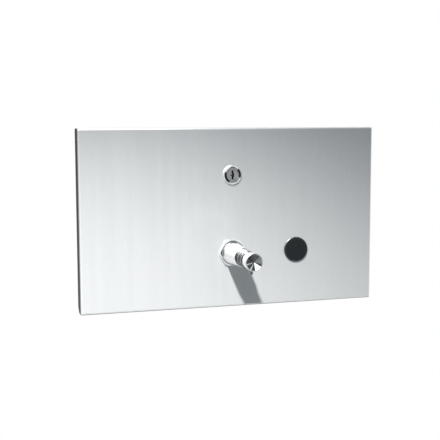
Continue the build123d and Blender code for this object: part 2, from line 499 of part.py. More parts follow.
# Push-in valve, outside to inside
with BuildPart() as valve_body:
    with BuildSketch(facing(0, DOOR_D, VALVE_Z)):
        RegularPolygon(HEX_AF / 2, 6, major_radius=False)
    extrude(amount=HEX_T)
    hex_corner_r = HEX_AF / sqrt(3)
    with BuildSketch(along(0, VALVE_Z)):
        with BuildLine():
            Polyline(
                (DOOR_D, 0), (DOOR_D, hex_corner_r + PAST), (DOOR_D + HEX_T - HEX_CHAMFER_L, hex_corner_r + PAST),
                (DOOR_D + HEX_T - HEX_CHAMFER_L, hex_corner_r + 0.2),
                (DOOR_D + HEX_T, hex_corner_r - HEX_CHAMFER_W), (DOOR_D + HEX_T, 0), close=True,
            )
        make_face()
    revolve(axis=turning_axis(0, VALVE_Z), mode=Mode.INTERSECT)
    tip, root = DOOR_D + BARREL_L, DOOR_D + HEX_T
    with BuildSketch(along(0, VALVE_Z)):
        with BuildLine():
            Polyline(
                (root, 0), (root, BARREL_R + COLLAR_W), (root + 0.7, BARREL_R + COLLAR_W - 0.2),
                (root + COLLAR_L, BARREL_R),
                (tip - 0.7, BARREL_TIP_R), (tip, BARREL_TIP_R - 0.5), (tip, 0), close=True,
            )
        make_face()
    revolve(axis=turning_axis(0, VALVE_Z))
    with BuildSketch(facing(0, DOOR_D, VALVE_Z)):
        Circle(SHANK_R)
    extrude(amount=SHANK_END_DEPTH - DOOR_D)
    with BuildSketch(facing(0, tip, VALVE_Z)):
        Circle(BARREL_BORE_R)
    extrude(amount=BARREL_FLOOR - BARREL_L, mode=Mode.SUBTRACT)
    with BuildSketch(facing(0, tip, VALVE_Z)):
        Circle(STEM_R + SLIDE_FIT)
    extrude(amount=SHANK_END_DEPTH - tip, mode=Mode.SUBTRACT)
    with BuildSketch(facing(0, SHANK_END_DEPTH, VALVE_Z)):
        Circle(SHANK_SOCKET_R)
    extrude(amount=SHANK_SOCKET_L, mode=Mode.SUBTRACT)
save(valve_body, "valve_body")

for name, x, z, hole_r, rim_r in (
    ("valve_gasket", 0, VALVE_Z, VALVE_HOLE_R, 14.0),
    ("window_gasket", WINDOW_X, WINDOW_Z, WINDOW_HOLE_R, 15.5),
):
    with BuildPart() as gasket:
        with BuildSketch(facing(x, TANK_FRONT, z)):
            Circle(rim_r)
            Circle(hole_r, mode=Mode.SUBTRACT)
        extrude(amount=GASKET_T)
    save(gasket, name)

for part_of, x, z, hole_r, washer_r, nut_af in (
    ("valve", 0, VALVE_Z, SHANK_R, 13.0, 24.0), ("window", WINDOW_X, WINDOW_Z, WINDOW_SHANK_R, 14.5, 27.0)
):
    with BuildPart() as washer:
        with BuildSketch(facing(x, TANK_INNER, z)):
            Circle(washer_r)
            Circle(hole_r, mode=Mode.SUBTRACT)
        extrude(amount=-WASHER_T)
    save(washer, f"{part_of}_washer")
    with BuildPart() as shank_nut:
        with BuildSketch(facing(x, TANK_INNER - WASHER_T, z)):
            RegularPolygon(nut_af / 2, 6, major_radius=False)
            Circle(hole_r, mode=Mode.SUBTRACT)
        extrude(amount=-SHANK_NUT_T)
        chamfer(shank_nut.faces().sort_by(Axis.Y)[-1].outer_wire().edges(), NUT_CHAMFER)
    save(shank_nut, f"{part_of}_nut")

with BuildPart() as pump_cylinder:
    with BuildSketch(along(0, VALVE_Z)):
        with BuildLine():
            Polyline(
                (SHANK_END_DEPTH + SHANK_SOCKET_L, STEM_R + SLIDE_FIT),
                (SHANK_END_DEPTH + SHANK_SOCKET_L, SHANK_SOCKET_R), (SHANK_END_DEPTH, SHANK_SOCKET_R),
                (SHANK_END_DEPTH, CYLINDER_R), (-CYLINDER_BACK_Y, CYLINDER_R),
                (-CYLINDER_BACK_Y, CHAMBER_R), (-CHAMBER_FRONT_Y, CHAMBER_R),
                (-CHAMBER_FRONT_Y, STEM_R + SLIDE_FIT), close=True,
            )
        make_face()
    revolve(axis=turning_axis(0, VALVE_Z))
    with BuildSketch(Plane(origin=(0, 0, VALVE_Z), x_dir=(0, 1, 0), z_dir=(1, 0, 0))):
        for from_end in CYLINDER_GROOVES:
            with Locations((CYLINDER_BACK_Y - from_end, CYLINDER_R)):
                Rectangle(CYLINDER_GROOVE_W, 2 * CYLINDER_GROOVE_T)
    revolve(axis=turning_axis(0, VALVE_Z), mode=Mode.SUBTRACT)
save(pump_cylinder, "pump_cylinder")

END_CAP_Y = CYLINDER_BACK_Y + END_CAP_T
with BuildPart() as cylinder_cap:
    with BuildSketch(along(0, VALVE_Z)):
        with BuildLine():
            Polyline(
                (-CHAMBER_BACK_Y, 0), (-CHAMBER_BACK_Y, CHAMBER_R), (-CYLINDER_BACK_Y, CHAMBER_R),
                (-CYLINDER_BACK_Y, CYLINDER_R + END_CAP_RIM), (-END_CAP_Y, CYLINDER_R + END_CAP_RIM),
                (-END_CAP_Y, 0), close=True,
            )
        make_face()
    revolve(axis=turning_axis(0, VALVE_Z))
    with BuildSketch(facing(0, -CHAMBER_BACK_Y, VALVE_Z)):
        Circle(FLAP_STEM_R)
        with PolarLocations(INLET_RING_R, INLET_HOLES):
            Circle(INLET_HOLE_R)
    extrude(amount=CHAMBER_BACK_Y - END_CAP_Y, mode=Mode.SUBTRACT)
save(cylinder_cap, "cylinder_cap")

with BuildPart() as inlet_flap:
    with BuildSketch(along(0, VALVE_Z)):
        with BuildLine():
            Polyline(
                (-END_CAP_Y, 0), (-END_CAP_Y, FLAP_STEM_R), (-CHAMBER_BACK_Y, FLAP_STEM_R),
                (-CHAMBER_BACK_Y, FLAP_R), (FLAP_T - CHAMBER_BACK_Y, FLAP_R),
                (FLAP_HUB_T - CHAMBER_BACK_Y, FLAP_STEM_R), (FLAP_HUB_T - CHAMBER_BACK_Y, 0), close=True,
            )
        make_face()
    revolve(axis=turning_axis(0, VALVE_Z))
save(inlet_flap, "inlet_flap")

with BuildPart() as inlet_strainer:
    with BuildSketch(facing(0, -END_CAP_Y, VALVE_Z)):
        Circle(CYLINDER_R)
    extrude(amount=-STRAINER_L)
    fillet(inlet_strainer.faces().sort_by(Axis.Y)[-1].edges(), STRAINER_END_R)
    offset(amount=-STRAINER_T, openings=inlet_strainer.faces().sort_by(Axis.Y)[0])
    with BuildSketch(facing(0, -END_CAP_Y - STRAINER_L, VALVE_Z)):
        for ring_r, holes in STRAINER_RINGS:
            with PolarLocations(ring_r, holes):
                Circle(STRAINER_HOLE_R)
    extrude(amount=STRAINER_T, mode=Mode.SUBTRACT)
save(inlet_strainer, "inlet_strainer")

with BuildPart() as return_spring:
    seat_y = -(DOOR_D + BARREL_FLOOR) - SPRING_WIRE_R - SPRING_END_GAP
    turns_l = SPRING_SEAT_L - BARREL_FLOOR - 2 * (SPRING_WIRE_R + SPRING_END_GAP)
    with BuildLine():
        coil = Helix(turns_l / SPRING_COILS, turns_l, SPRING_R, center=(0, seat_y, VALVE_Z), direction=(0, -1, 0))
    with BuildSketch(Plane(origin=coil @ 0, z_dir=coil % 0)):
        Circle(SPRING_WIRE_R)
    sweep()
save(return_spring, "return_spring")

# Sight window
with BuildPart() as sight_window:
    with BuildSketch(facing(WINDOW_X, WINDOW_END_DEPTH, WINDOW_Z)):
        Circle(WINDOW_SHANK_R)
    extrude(amount=DOOR_D - WINDOW_END_DEPTH)
    with BuildSketch(facing(WINDOW_X, DOOR_D, WINDOW_Z)):
        Circle(WINDOW_R)
    extrude(amount=WINDOW_PROUD)
    fillet(sight_window.faces().sort_by(Axis.Y)[0].edges(), WINDOW_EDGE_R)
    with BuildSketch(facing(WINDOW_X, WINDOW_END_DEPTH, WINDOW_Z)):
        Circle(WINDOW_BORE_R)
    extrude(amount=DOOR_D - WINDOW_END_DEPTH - WINDOW_FACE_T, mode=Mode.SUBTRACT)
save(sight_window, "sight_window")

# Key lock
with BuildPart() as lock_housing:
    face_depth = DOOR_D + LOCK_PROUD
    with BuildSketch(along(0, LOCK_Z)):
        with BuildLine():
            Polyline(
                (-LOCK_END_Y, PLUG_R + RUN_FIT), (-LOCK_END_Y, LOCK_BODY_R), (DOOR_D, LOCK_BODY_R),
                (DOOR_D, LOCK_HEAD_R), (DOOR_D + 0.9, LOCK_HEAD_R), (face_depth - 0.5, LOCK_HEAD_R - 1.4),
                (face_depth, LOCK_HEAD_R - 2.1), (face_depth - 0.1, PLUG_R + 0.6),
                (face_depth - 0.6, PLUG_R + RUN_FIT), close=True,
            )
        make_face()
    revolve(axis=turning_axis(0, LOCK_Z))
save(lock_housing, "lock_housing")

with BuildPart() as lock_nut:
    with BuildSketch(facing(0, DOOR_INNER, LOCK_Z)):
        RegularPolygon(LOCK_NUT_AF / 2, 6, major_radius=False)
        Circle(LOCK_BODY_R, mode=Mode.SUBTRACT)
    extrude(amount=-NUT_T)
    chamfer(lock_nut.faces().sort_by(Axis.Y)[-1].outer_wire().edges(), NUT_CHAMFER)
save(lock_nut, "lock_nut")

# ================================================================ body: the lock's plug and cam
with BuildPart() as lock_plug:
    plug_face = DOOR_D + LOCK_PROUD - PLUG_SINK
    plug_end = -LOCK_END_Y - PLUG_TAIL
    with BuildSketch(facing(0, plug_end, LOCK_Z)):
        Circle(PLUG_R)
    extrude(amount=plug_face - plug_end)
    chamfer(lock_plug.faces().sort_by(Axis.Y)[0].edges(), END_CHAMFER)
    with BuildSketch(facing(0, plug_face, LOCK_Z)):
        Circle(PLUG_RING_R)
        Circle(PLUG_RING_R - PLUG_RING_W, mode=Mode.SUBTRACT)
    extrude(amount=-PLUG_RING_DEPTH, mode=Mode.SUBTRACT)
    with BuildSketch(facing(0, plug_face, LOCK_Z)):
        for dx, dz, height in KEYWAY_STEPS:
            with Locations((dx, dz)):
                Rectangle(KEYWAY_W, height)
    extrude(amount=-KEYWAY_DEPTH, mode=Mode.SUBTRACT)
    with BuildSketch(facing(0, plug_end, LOCK_Z)):
        Rectangle(SQUARE, SQUARE)
    extrude(amount=-(CAM_Y + CAM_T + plug_end))
save(lock_plug, "lock_plug")

with BuildPart() as lock_cam:
    with BuildSketch(facing(0, -CAM_Y, LOCK_Z)):
        Circle(CAM_W / 2)
        Rectangle(CAM_L - CAM_TIP_L, CAM_W, align=(Align.MIN, Align.CENTER))
        with Locations((CAM_L - CAM_TIP_L, 0)):
            Rectangle(CAM_TIP_L, CAM_W - CAM_TIP_STEP, align=(Align.MIN, Align.CENTER))
        Rectangle(SQUARE, SQUARE, mode=Mode.SUBTRACT)
    extrude(amount=-CAM_T)
save(lock_cam, "lock_cam")

with BuildPart() as cam_screw:
    with BuildSketch(facing(0, -CAM_Y - CAM_T, LOCK_Z)):
        Circle(CAM_WASHER_R)
    extrude(amount=-CAM_WASHER_T)
    with BuildSketch(facing(0, -CAM_Y - CAM_T - CAM_WASHER_T, LOCK_Z)):
        RegularPolygon(CAM_SCREW_AF / 2, 6, major_radius=False)
    extrude(amount=-CAM_SCREW_T)
    chamfer(cam_screw.faces().sort_by(Axis.Y)[-1].edges(), END_CHAMFER)
save(cam_screw, "cam_screw")

# ================================================================ body: the push-in spout
with BuildPart() as spout_plunger:
    head_back, barrel_tip = DOOR_D + HEAD_BACK_L, DOOR_D + BARREL_L
    with BuildSketch(facing(0, barrel_tip - PLUNGER_TAIL, VALVE_Z)):
        Circle(PLUNGER_R)
    extrude(amount=head_back - barrel_tip + PLUNGER_TAIL)
    with BuildSketch(facing(0, barrel_tip - PLUNGER_TAIL, VALVE_Z)):
        Circle(SPRING_R + SPRING_WIRE_R + SPRING_SIDE_GAP)
    extrude(amount=SPRING_SEAT_L - BARREL_L + PLUNGER_TAIL, mode=Mode.SUBTRACT)
    with BuildSketch(facing(0, head_back, VALVE_Z)):
        Circle(STEM_R)
    extrude(amount=SPRING_SEAT_L - HEAD_BACK_L, mode=Mode.SUBTRACT)
    with BuildSketch(along(0, VALVE_Z)):
        for groove_l, groove_w, groove_h in PLUNGER_GROOVES:
            with Locations((DOOR_D + groove_l, PLUNGER_R)):
                Rectangle(groove_w, 2 * groove_h)
    revolve(axis=turning_axis(0, VALVE_Z), mode=Mode.SUBTRACT)
    with BuildSketch(Plane.XY.offset(VALVE_Z + PLUNGER_R)):
        with Locations((0, -head_back)):
            Rectangle(NOTCH_W, NOTCH_L, align=(Align.CENTER, Align.MIN))
    extrude(amount=-NOTCH_DEPTH, mode=Mode.SUBTRACT)
save(spout_plunger, "spout_plunger")

with BuildPart() as push_cap:
    cap_back, cap_front = DOOR_D + HEAD_BACK_L, DOOR_D + HEAD_FRONT_L
    with BuildSketch(along(0, VALVE_Z)):
        with BuildLine():
            Polyline(
                (cap_back, 0), (cap_back, HEAD_R - END_CHAMFER), (cap_back + END_CHAMFER, HEAD_R),
                (cap_front - CAP_EDGE, HEAD_R), (cap_front, HEAD_R - CAP_EDGE),
                (cap_front, HEAD_R - CAP_EDGE - CAP_RIM_W), (cap_front - CAP_DISH, 0), close=True,
            )
        make_face()
    revolve(axis=turning_axis(0, VALVE_Z))
    nozzle_depth = DOOR_D + NOZZLE_L
    with BuildSketch(facing(0, cap_back, VALVE_Z)):
        Circle(STEM_BORE_R)
    extrude(amount=nozzle_depth - cap_back, mode=Mode.SUBTRACT)
    with BuildSketch(Plane.XY.offset(VALVE_Z - NOZZLE_SEAT)):
        with Locations((0, -nozzle_depth)):
            Circle(NOZZLE_R)
    extrude(amount=-HEAD_R, mode=Mode.SUBTRACT)
    with BuildSketch(Plane.XY.offset(VALVE_Z)):
        with Locations((0, -nozzle_depth)):
            Circle(NOZZLE_BORE_R)
    extrude(amount=-HEAD_R, mode=Mode.SUBTRACT)
save(push_cap, "push_cap")

with BuildPart() as outlet_nozzle:
    with BuildSketch(Plane.XY.offset(VALVE_Z - NOZZLE_SEAT)):
        with Locations((0, -nozzle_depth)):
            Circle(NOZZLE_R)
    extrude(amount=NOZZLE_SEAT - NOZZLE_DROP)
    fillet(outlet_nozzle.faces().sort_by(Axis.Z)[0].edges(), NOZZLE_EDGE_R)
    with BuildSketch(Plane.XY.offset(VALVE_Z - NOZZLE_SEAT)):
        with Locations((0, -nozzle_depth)):
            Circle(NOZZLE_BORE_R)
    extrude(amount=NOZZLE_SEAT - NOZZLE_DROP, mode=Mode.SUBTRACT)
save(outlet_nozzle, "outlet_nozzle")

PISTON_FRONT_Y = CHAMBER_FRONT_Y + PISTON_GAP
PISTON_BACK_Y = PISTON_FRONT_Y + PISTON_L
with BuildPart() as plunger_stem:
    with BuildSketch(facing(0, -PISTON_BACK_Y, VALVE_Z)):
        Circle(STEM_R)
    extrude(amount=DOOR_D + HEAD_BACK_L + PISTON_BACK_Y)
    with BuildSketch(facing(0, -PISTON_BACK_Y, VALVE_Z)):
        Circle(STEM_FOOT_R)
    extrude(amount=-STEM_FOOT_T)
    with BuildSketch(facing(0, DOOR_D + HEAD_BACK_L, VALVE_Z)):
        Circle(STEM_BORE_R)
    extrude(amount=-(DOOR_D + HEAD_BACK_L + PISTON_BACK_Y + STEM_FOOT_T), mode=Mode.SUBTRACT)
save(plunger_stem, "plunger_stem")

with BuildPart() as piston:
    seal_start = (PISTON_L - SEAL_L) / 2
    with BuildSketch(along(0, VALVE_Z)):
        with BuildLine():
            Polyline(
                (-PISTON_FRONT_Y, STEM_R), (-PISTON_FRONT_Y, CHAMBER_R - PISTON_GAP),
                (-PISTON_FRONT_Y - seal_start, CHAMBER_R - PISTON_GAP), (-PISTON_FRONT_Y - seal_start, SEAL_GROOVE_R),
                (-PISTON_BACK_Y + seal_start, SEAL_GROOVE_R), (-PISTON_BACK_Y + seal_start, CHAMBER_R - PISTON_GAP),
                (-PISTON_BACK_Y, CHAMBER_R - PISTON_GAP), (-PISTON_BACK_Y, STEM_R), close=True,
            )
        make_face()
    revolve(axis=turning_axis(0, VALVE_Z))
save(piston, "piston")

with BuildPart() as piston_seal:
    with BuildSketch(facing(0, -PISTON_FRONT_Y - seal_start, VALVE_Z)):
        Circle(CHAMBER_R - RUN_FIT)
        Circle(SEAL_GROOVE_R, mode=Mode.SUBTRACT)
    extrude(amount=-SEAL_L)
    chamfer(piston_seal.edges().filter_by(GeomType.CIRCLE).sort_by(SortBy.RADIUS)[-2:], END_CHAMFER)
save(piston_seal, "piston_seal")

# ================================================================ body: the filler lid
with BuildPart() as filler_lid:
    lid_z = COVER_TOP + NECK_H + LID_REST_GAP
    plate_back = LID_AXIS_Y - LID_KNUCKLE_R - LEAF_GAP
    plate_depth = plate_back - LID_FRONT_Y
    with BuildSketch(Plane.XY.offset(lid_z)):
        with Locations((0, LID_FRONT_Y)):
            Rectangle(LID_W, plate_depth, align=(Align.CENTER, Align.MIN))
    extrude(amount=LID_T)
    fillet(filler_lid.edges().filter_by(Axis.Z).group_by(Axis.Y)[0], LID_CORNER_R)
    fillet(filler_lid.faces().sort_by(Axis.Z)[-1].edges().group_by(Axis.Y)[0], LID_EDGE_R)
    with BuildSketch(Plane.XY.offset(lid_z)):
        with Locations((0, MOUTH_Y)):
            RectangleRounded(MOUTH_W - 2 * LID_RIM_GAP, MOUTH_D - 2 * LID_RIM_GAP, MOUTH_CORNER_R)
            RectangleRounded(
                MOUTH_W - 2 * (LID_RIM_GAP + LID_RIM_W), MOUTH_D - 2 * (LID_RIM_GAP + LID_RIM_W),
                MOUTH_CORNER_R - LID_RIM_GAP, mode=Mode.SUBTRACT,
            )
    extrude(amount=-LID_T)
    with BuildSketch(Plane.XY.offset(lid_z)):
        with Locations((0, LID_FRONT_Y)):
            Rectangle(LID_TAB_W, LID_TAB_D, align=(Align.CENTER, Align.MAX))
    extrude(amount=LID_T)
    knuckle_l = LID_BLOCKS[1] - LID_BLOCKS[0] - LID_BLOCK_W - 2 * KNUCKLE_END_GAP
    for x in (LID_BLOCKS[0] / 2, LID_BLOCKS[2] / 2):
        with BuildSketch(across(x - knuckle_l / 2, LID_AXIS_Y, LID_AXIS_Z)):
            Circle(LID_KNUCKLE_R)
            with Locations((0, lid_z - LID_AXIS_Z)):
                Rectangle(LID_KNUCKLE_R + LEAF_GAP, LID_T, align=(Align.MAX, Align.MIN))
        extrude(amount=knuckle_l)
    with BuildSketch(across(-LID_W / 2, LID_AXIS_Y, LID_AXIS_Z)):
        Circle(LID_PIN_R + RUN_FIT)
    extrude(amount=LID_W, mode=Mode.SUBTRACT)
save(filler_lid, "filler_lid")
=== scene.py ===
"""Looks of a recessed soap dispenser: a brushed steel door with a key lock, a push-in spout and a sight
window, and behind it the wall box, the hinge, the tank and the pump. Lengths are in metres."""
from __future__ import annotations

import logging
import math
from collections.abc import Callable
from dataclasses import dataclass
from enum import Enum

import bpy
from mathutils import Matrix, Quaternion, Vector


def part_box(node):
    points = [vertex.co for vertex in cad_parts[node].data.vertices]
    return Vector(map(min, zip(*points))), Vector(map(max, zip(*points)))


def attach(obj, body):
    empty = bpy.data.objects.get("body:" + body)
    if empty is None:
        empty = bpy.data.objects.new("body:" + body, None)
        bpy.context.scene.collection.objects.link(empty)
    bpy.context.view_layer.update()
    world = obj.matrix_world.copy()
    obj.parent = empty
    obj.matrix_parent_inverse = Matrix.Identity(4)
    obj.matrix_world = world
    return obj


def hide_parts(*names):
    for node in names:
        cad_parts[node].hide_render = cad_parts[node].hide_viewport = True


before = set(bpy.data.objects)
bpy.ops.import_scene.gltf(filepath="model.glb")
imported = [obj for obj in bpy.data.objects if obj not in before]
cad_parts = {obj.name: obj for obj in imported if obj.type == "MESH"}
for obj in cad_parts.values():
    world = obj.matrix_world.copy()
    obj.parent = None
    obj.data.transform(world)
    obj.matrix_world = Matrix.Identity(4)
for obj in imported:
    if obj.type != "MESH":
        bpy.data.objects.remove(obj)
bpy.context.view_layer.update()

logging.basicConfig(level=logging.INFO, format="%(message)s")
LOG = logging.getLogger("dispenser")
MM = 0.001
Socket = bpy.types.NodeSocket
Triple = tuple[float, float, float]
Colour = Triple
Profile = tuple[tuple[float, float], ...]


# ---------------------------------------------------------------- node helpers
class Nodes:
    """A node tree that is built up by short calls."""

    def __init__(self, tree: bpy.types.NodeTree) -> None:
        """Start on an empty tree.

        Args:
            tree: the material's, world's or group's node tree.
        """
        self.tree = tree
        tree.nodes.clear()

    def add(self, kind: str, **settings: object) -> bpy.types.Node:
        """Add a node and set its properties.

        Args:
            kind: Blender's name of the node type.
            settings: properties of the node.

        Returns:
            The new node.
        """
        node = self.tree.nodes.new(kind)
        for key, value in settings.items():
            setattr(node, key, value)
        return node

    def wire(self, value: object, socket: Socket) -> None:
        """Feed a socket from another socket, or set its value.

        Args:
            value: an output socket, or a plain number, colour or vector.
            socket: the input to feed.
        """
        if isinstance(value, Socket):
            self.tree.links.new(value, socket)
        else:
            socket.default_value = value

    def maths(self, operation: str, *values: object, clamp: bool = False) -> Socket:
        """Work out a number.

        Args:
            operation: the Math node's operation.
            values: its inputs, as sockets or numbers.
            clamp: whether the result is held between 0 and 1.

        Returns:
            The result's socket.
        """
        node = self.add("ShaderNodeMath", operation=operation, use_clamp=clamp)
        for value, socket in zip(values, node.inputs):
            self.wire(value, socket)
        return node.outputs[0]

    def vector(self, operation: str, *values: object) -> bpy.types.Node:
        """Add a Vector Math node with its inputs fed.

        Args:
            operation: the node's operation.
            values: its inputs, as sockets or vectors.

        Returns:
            The node, whose outputs are Vector and Value.
        """
        node = self.add("ShaderNodeVectorMath", operation=operation)
        for value, socket in zip(values, node.inputs):
            self.wire(value, socket)
        return node

    def spread(self, value: object, low: float, high: float, to_low: float = 0.0,
               to_high: float = 1.0) -> Socket:
        """Map one range of numbers onto another, held at its ends.

        Args:
            value: the number's socket.
            low: the value that becomes to_low.
            high: the value that becomes to_high.
            to_low: first end of the new range.
            to_high: other end of the new range.

        Returns:
            The mapped number's socket.
        """
        node = self.add("ShaderNodeMapRange", interpolation_type="SMOOTHSTEP")
        for given, socket in zip((value, low, high, to_low, to_high), node.inputs):
            self.wire(given, socket)
        return node.outputs[0]

    def mix(self, factor: object, first: object, second: object) -> Socket:
        """Blend two colours.

        Args:
            factor: share of the second colour.
            first: a colour or socket.
            second: a colour or socket.

        Returns:
            The blended colour's socket.
        """
        node = self.add("ShaderNodeMix", data_type="RGBA")
        for given, socket in zip((factor, first, second), (node.inputs[0], node.inputs[6], node.inputs[7])):
            if isinstance(given, tuple) and len(given) == 3:
                given = (*given, 1.0)
            self.wire(given, socket)
        return node.outputs[2]

    def noise(self, vector: object, scale: float, detail: float = 3.0) -> Socket:
        """Add a noise texture.

        Args:
            vector: the coordinates' socket.
            scale: features per metre.
            detail: octaves of finer noise.

        Returns:
            The noise value's socket.
        """
        node = self.add("ShaderNodeTexNoise")
        self.wire(vector, node.inputs["Vector"])
        node.inputs["Scale"].default_value = scale
        node.inputs["Detail"].default_value = detail
        return node.outputs["Fac"]


class Effect(Enum):
    """Surface effects that several materials share, each a node group built once. Some paint reflections or
    shade into the colour.
    """

    GRAIN = "brushed_grain"
    SMUDGE = "hand_smudges"
    SPECKLE = "fine_speckle"
    # Paints reflections into the colour: bright and dark sectors and streaks on the cap's dished face.
    SUNRAY = "sunray_painted_reflection"
    # Paints a bright reflection on the neck's top and a dark reflection down its sides.
    NECK = "neck_shading"
    # Paints dark reflections as crescents on the lock bezel's slope.
    BEZEL = "bezel_shading"
    DUST = "settled_dust"
    # Paints shade on faces turned left or down.
    FOLD = "painted_fold_shade"


def effect_group(effect: Effect) -> bpy.types.NodeTree:
    """Return an effect's node group, built at the first call.

    Args:
        effect: which effect.

    Returns:
        The group, with a Vector input, the effect's own inputs, and mask outputs.
    """
    known = bpy.data.node_groups.get(effect.value)
    if known:
        return known
    group = bpy.data.node_groups.new(effect.value, "ShaderNodeTree")
    group.interface.new_socket("Vector", in_out="INPUT", socket_type="NodeSocketVector")
    group.interface.new_socket("Scale", in_out="INPUT", socket_type="NodeSocketFloat")
    group.interface.new_socket("Mask", in_out="OUTPUT", socket_type="NodeSocketFloat")
    group.interface.new_socket("Height", in_out="OUTPUT", socket_type="NodeSocketFloat")
    nodes = Nodes(group)
    given = nodes.add("NodeGroupInput").outputs
    result = nodes.add("NodeGroupOutput").inputs
    scaled = nodes.vector("SCALE", given["Vector"])
    nodes.wire(given["Scale"], scaled.inputs["Scale"])
    place = scaled.outputs[0]
    builders = {Effect.GRAIN: _grain, Effect.SMUDGE: _smudge, Effect.SPECKLE: _speckle,
                Effect.SUNRAY: _painted_sunray_reflection, Effect.NECK: _neck, Effect.BEZEL: _bezel, Effect.DUST: _dust,
                Effect.FOLD: _fold_shade}
    mask, height = builders[effect](nodes, place)
    nodes.wire(mask, result["Mask"])
    nodes.wire(height, result["Height"])
    return group


# Each effect below takes its group's nodes and the scaled place, and returns its mask and its height.
def _grain(nodes: Nodes, place: Socket) -> tuple[Socket, Socket]:
    """Scratches along the local Z: broad irregular streaks with fine short lines in them."""
    long_lines = nodes.vector("MULTIPLY", place, (1.0, 1.0, 0.035)).outputs[0]
    short_lines = nodes.vector("MULTIPLY", place, (1.0, 1.0, 0.06)).outputs[0]
    wide = nodes.noise(long_lines, 150.0, 5.0)
    fine = nodes.noise(short_lines, 1500.0, 2.0)
    both = nodes.maths("ADD", nodes.maths("MULTIPLY", wide, 0.78), nodes.maths("MULTIPLY", fine, 0.22))
    return both, fine


def _smudge(nodes: Nodes, place: Socket) -> tuple[Socket, Socket]:
    """Soft patches where hands and cloths have passed."""
    broad = nodes.noise(place, 14.0, 4.0)
    close = nodes.noise(place, 90.0, 5.0)
    patch = nodes.spread(broad, 0.42, 0.68)
    return nodes.maths("MULTIPLY", patch, close), close


def _speckle(nodes: Nodes, place: Socket) -> tuple[Socket, Socket]:
    """The fine pebble of moulded plastic, rubber and castings."""
    cells = nodes.add("ShaderNodeTexVoronoi")
    nodes.wire(place, cells.inputs["Vector"])
    cells.inputs["Scale"].default_value = 1300.0
    fine = nodes.noise(place, 700.0, 3.0)
    return nodes.spread(fine, 0.35, 0.7), cells.outputs["Distance"]


def _round_y(nodes: Nodes, place: Socket) -> Socket:
    """The direction from the local Y axis, one unit long."""
    flat = nodes.vector("MULTIPLY", place, (1.0, 0.0, 1.0)).outputs[0]
    return nodes.vector("NORMALIZE", flat).outputs[0]


@dataclass(frozen=True)
class Sector:
    """A soft-edged sector of a disc.

    towards is its middle direction, as X and Z; fades and gone are how many degrees from there it starts to
    fade and has gone.
    """

    towards: tuple[float, float]
    fades: float
    gone: float

    def mask(self, nodes: Nodes, ray: Socket) -> Socket:
        """Mask the sector.

        Args:
            nodes: the group's nodes.
            ray: direction from the disc's middle.

        Returns:
            The mask, 1 in the sector.
        """
        cosine = nodes.vector("DOT_PRODUCT", ray, (self.towards[0], 0.0, self.towards[1])).outputs["Value"]
        return nodes.spread(cosine, math.cos(math.radians(self.gone)), math.cos(math.radians(self.fades)))


# Sectors of painted reflection on the cap's dished face: a bright highlight, grey sectors and two streaks.
CAP_PAINTED_HIGHLIGHT = Sector((0.53, -0.85), 19.0, 27.0)
CAP_PAINTED_GREY = Sector((0.87, 0.34), 30.0, 44.0)
CAP_PAINTED_TOP = Sector((0.17, 0.98), 22.0, 34.0)
CAP_PAINTED_STREAK_LEFT = Sector((-0.97, -0.24), 2.0, 9.0)
CAP_PAINTED_STREAK_LOW = Sector((-0.50, -0.87), 2.0, 8.0)
# The neck's bright top is a painted reflection.
NECK_PAINTED_TOP = Sector((0.50, 0.87), 50.0, 72.0)
# The bezel's dark crescents are painted reflections.
BEZEL_PAINTED_DARK_LEFT = Sector((-0.94, -0.34), 34.0, 48.0)
BEZEL_PAINTED_DARK_RIGHT = Sector((0.97, 0.24), 26.0, 40.0)


def _painted_sunray_reflection(nodes: Nodes, place: Socket) -> tuple[Socket, Socket]:
    """Painted reflection: bright, grey and dark sectors and streaks round the local Y axis with fine rays in
    them, and turned rings in the relief.
    """
    ray = _round_y(nodes, place)
    white, grey, left, low, top = (sector.mask(nodes, ray) for sector in (
        CAP_PAINTED_HIGHLIGHT, CAP_PAINTED_GREY, CAP_PAINTED_STREAK_LEFT, CAP_PAINTED_STREAK_LOW, CAP_PAINTED_TOP))
    rays = nodes.spread(nodes.noise(ray, 9.0, 5.0), 0.40, 0.62, 0.0, 0.22)
    dim = nodes.maths("MAXIMUM", grey, nodes.maths("MULTIPLY", top, 0.35))
    bright = nodes.maths("MAXIMUM", white, nodes.maths("MULTIPLY", dim, 0.26))
    streaks = nodes.maths("MULTIPLY", nodes.maths("MAXIMUM", left, low), 0.42)
    mask = nodes.maths("ADD", nodes.maths("MAXIMUM", bright, streaks), rays, clamp=True)
    flat = nodes.vector("MULTIPLY", place, (1.0, 0.0, 1.0)).outputs[0]
    radius = nodes.vector("LENGTH", flat).outputs["Value"]
    rings = nodes.maths("SINE", nodes.maths("MULTIPLY", radius, 20000.0))
    return mask, rings


def _neck(nodes: Nodes, place: Socket) -> tuple[Socket, Socket]:
    """Painted reflection: bright on top, dark down the sides, with lighter pitted patches."""
    ray = _round_y(nodes, place)
    bright = NECK_PAINTED_TOP.mask(nodes, ray)
    pits = nodes.noise(place, 900.0, 3.0)
    patches = nodes.spread(pits, 0.42, 0.64, 0.0, 0.24)
    return nodes.maths("ADD", bright, patches, clamp=True), pits


def _bezel(nodes: Nodes, place: Socket) -> tuple[Socket, Socket]:
    """Bright plating with dark reflections painted as crescents left and right, and cleaning scratches."""
    ray = _round_y(nodes, place)
    dark = nodes.maths("MAXIMUM", BEZEL_PAINTED_DARK_LEFT.mask(nodes, ray), BEZEL_PAINTED_DARK_RIGHT.mask(nodes, ray))
    scratches = nodes.noise(nodes.vector("MULTIPLY", place, (1.0, 0.2, 1.0)).outputs[0], 1200.0, 3.0)
    mask = nodes.maths("SUBTRACT", nodes.spread(scratches, 0.2, 0.55, 0.75, 1.0), dark, clamp=True)
    return mask, scratches


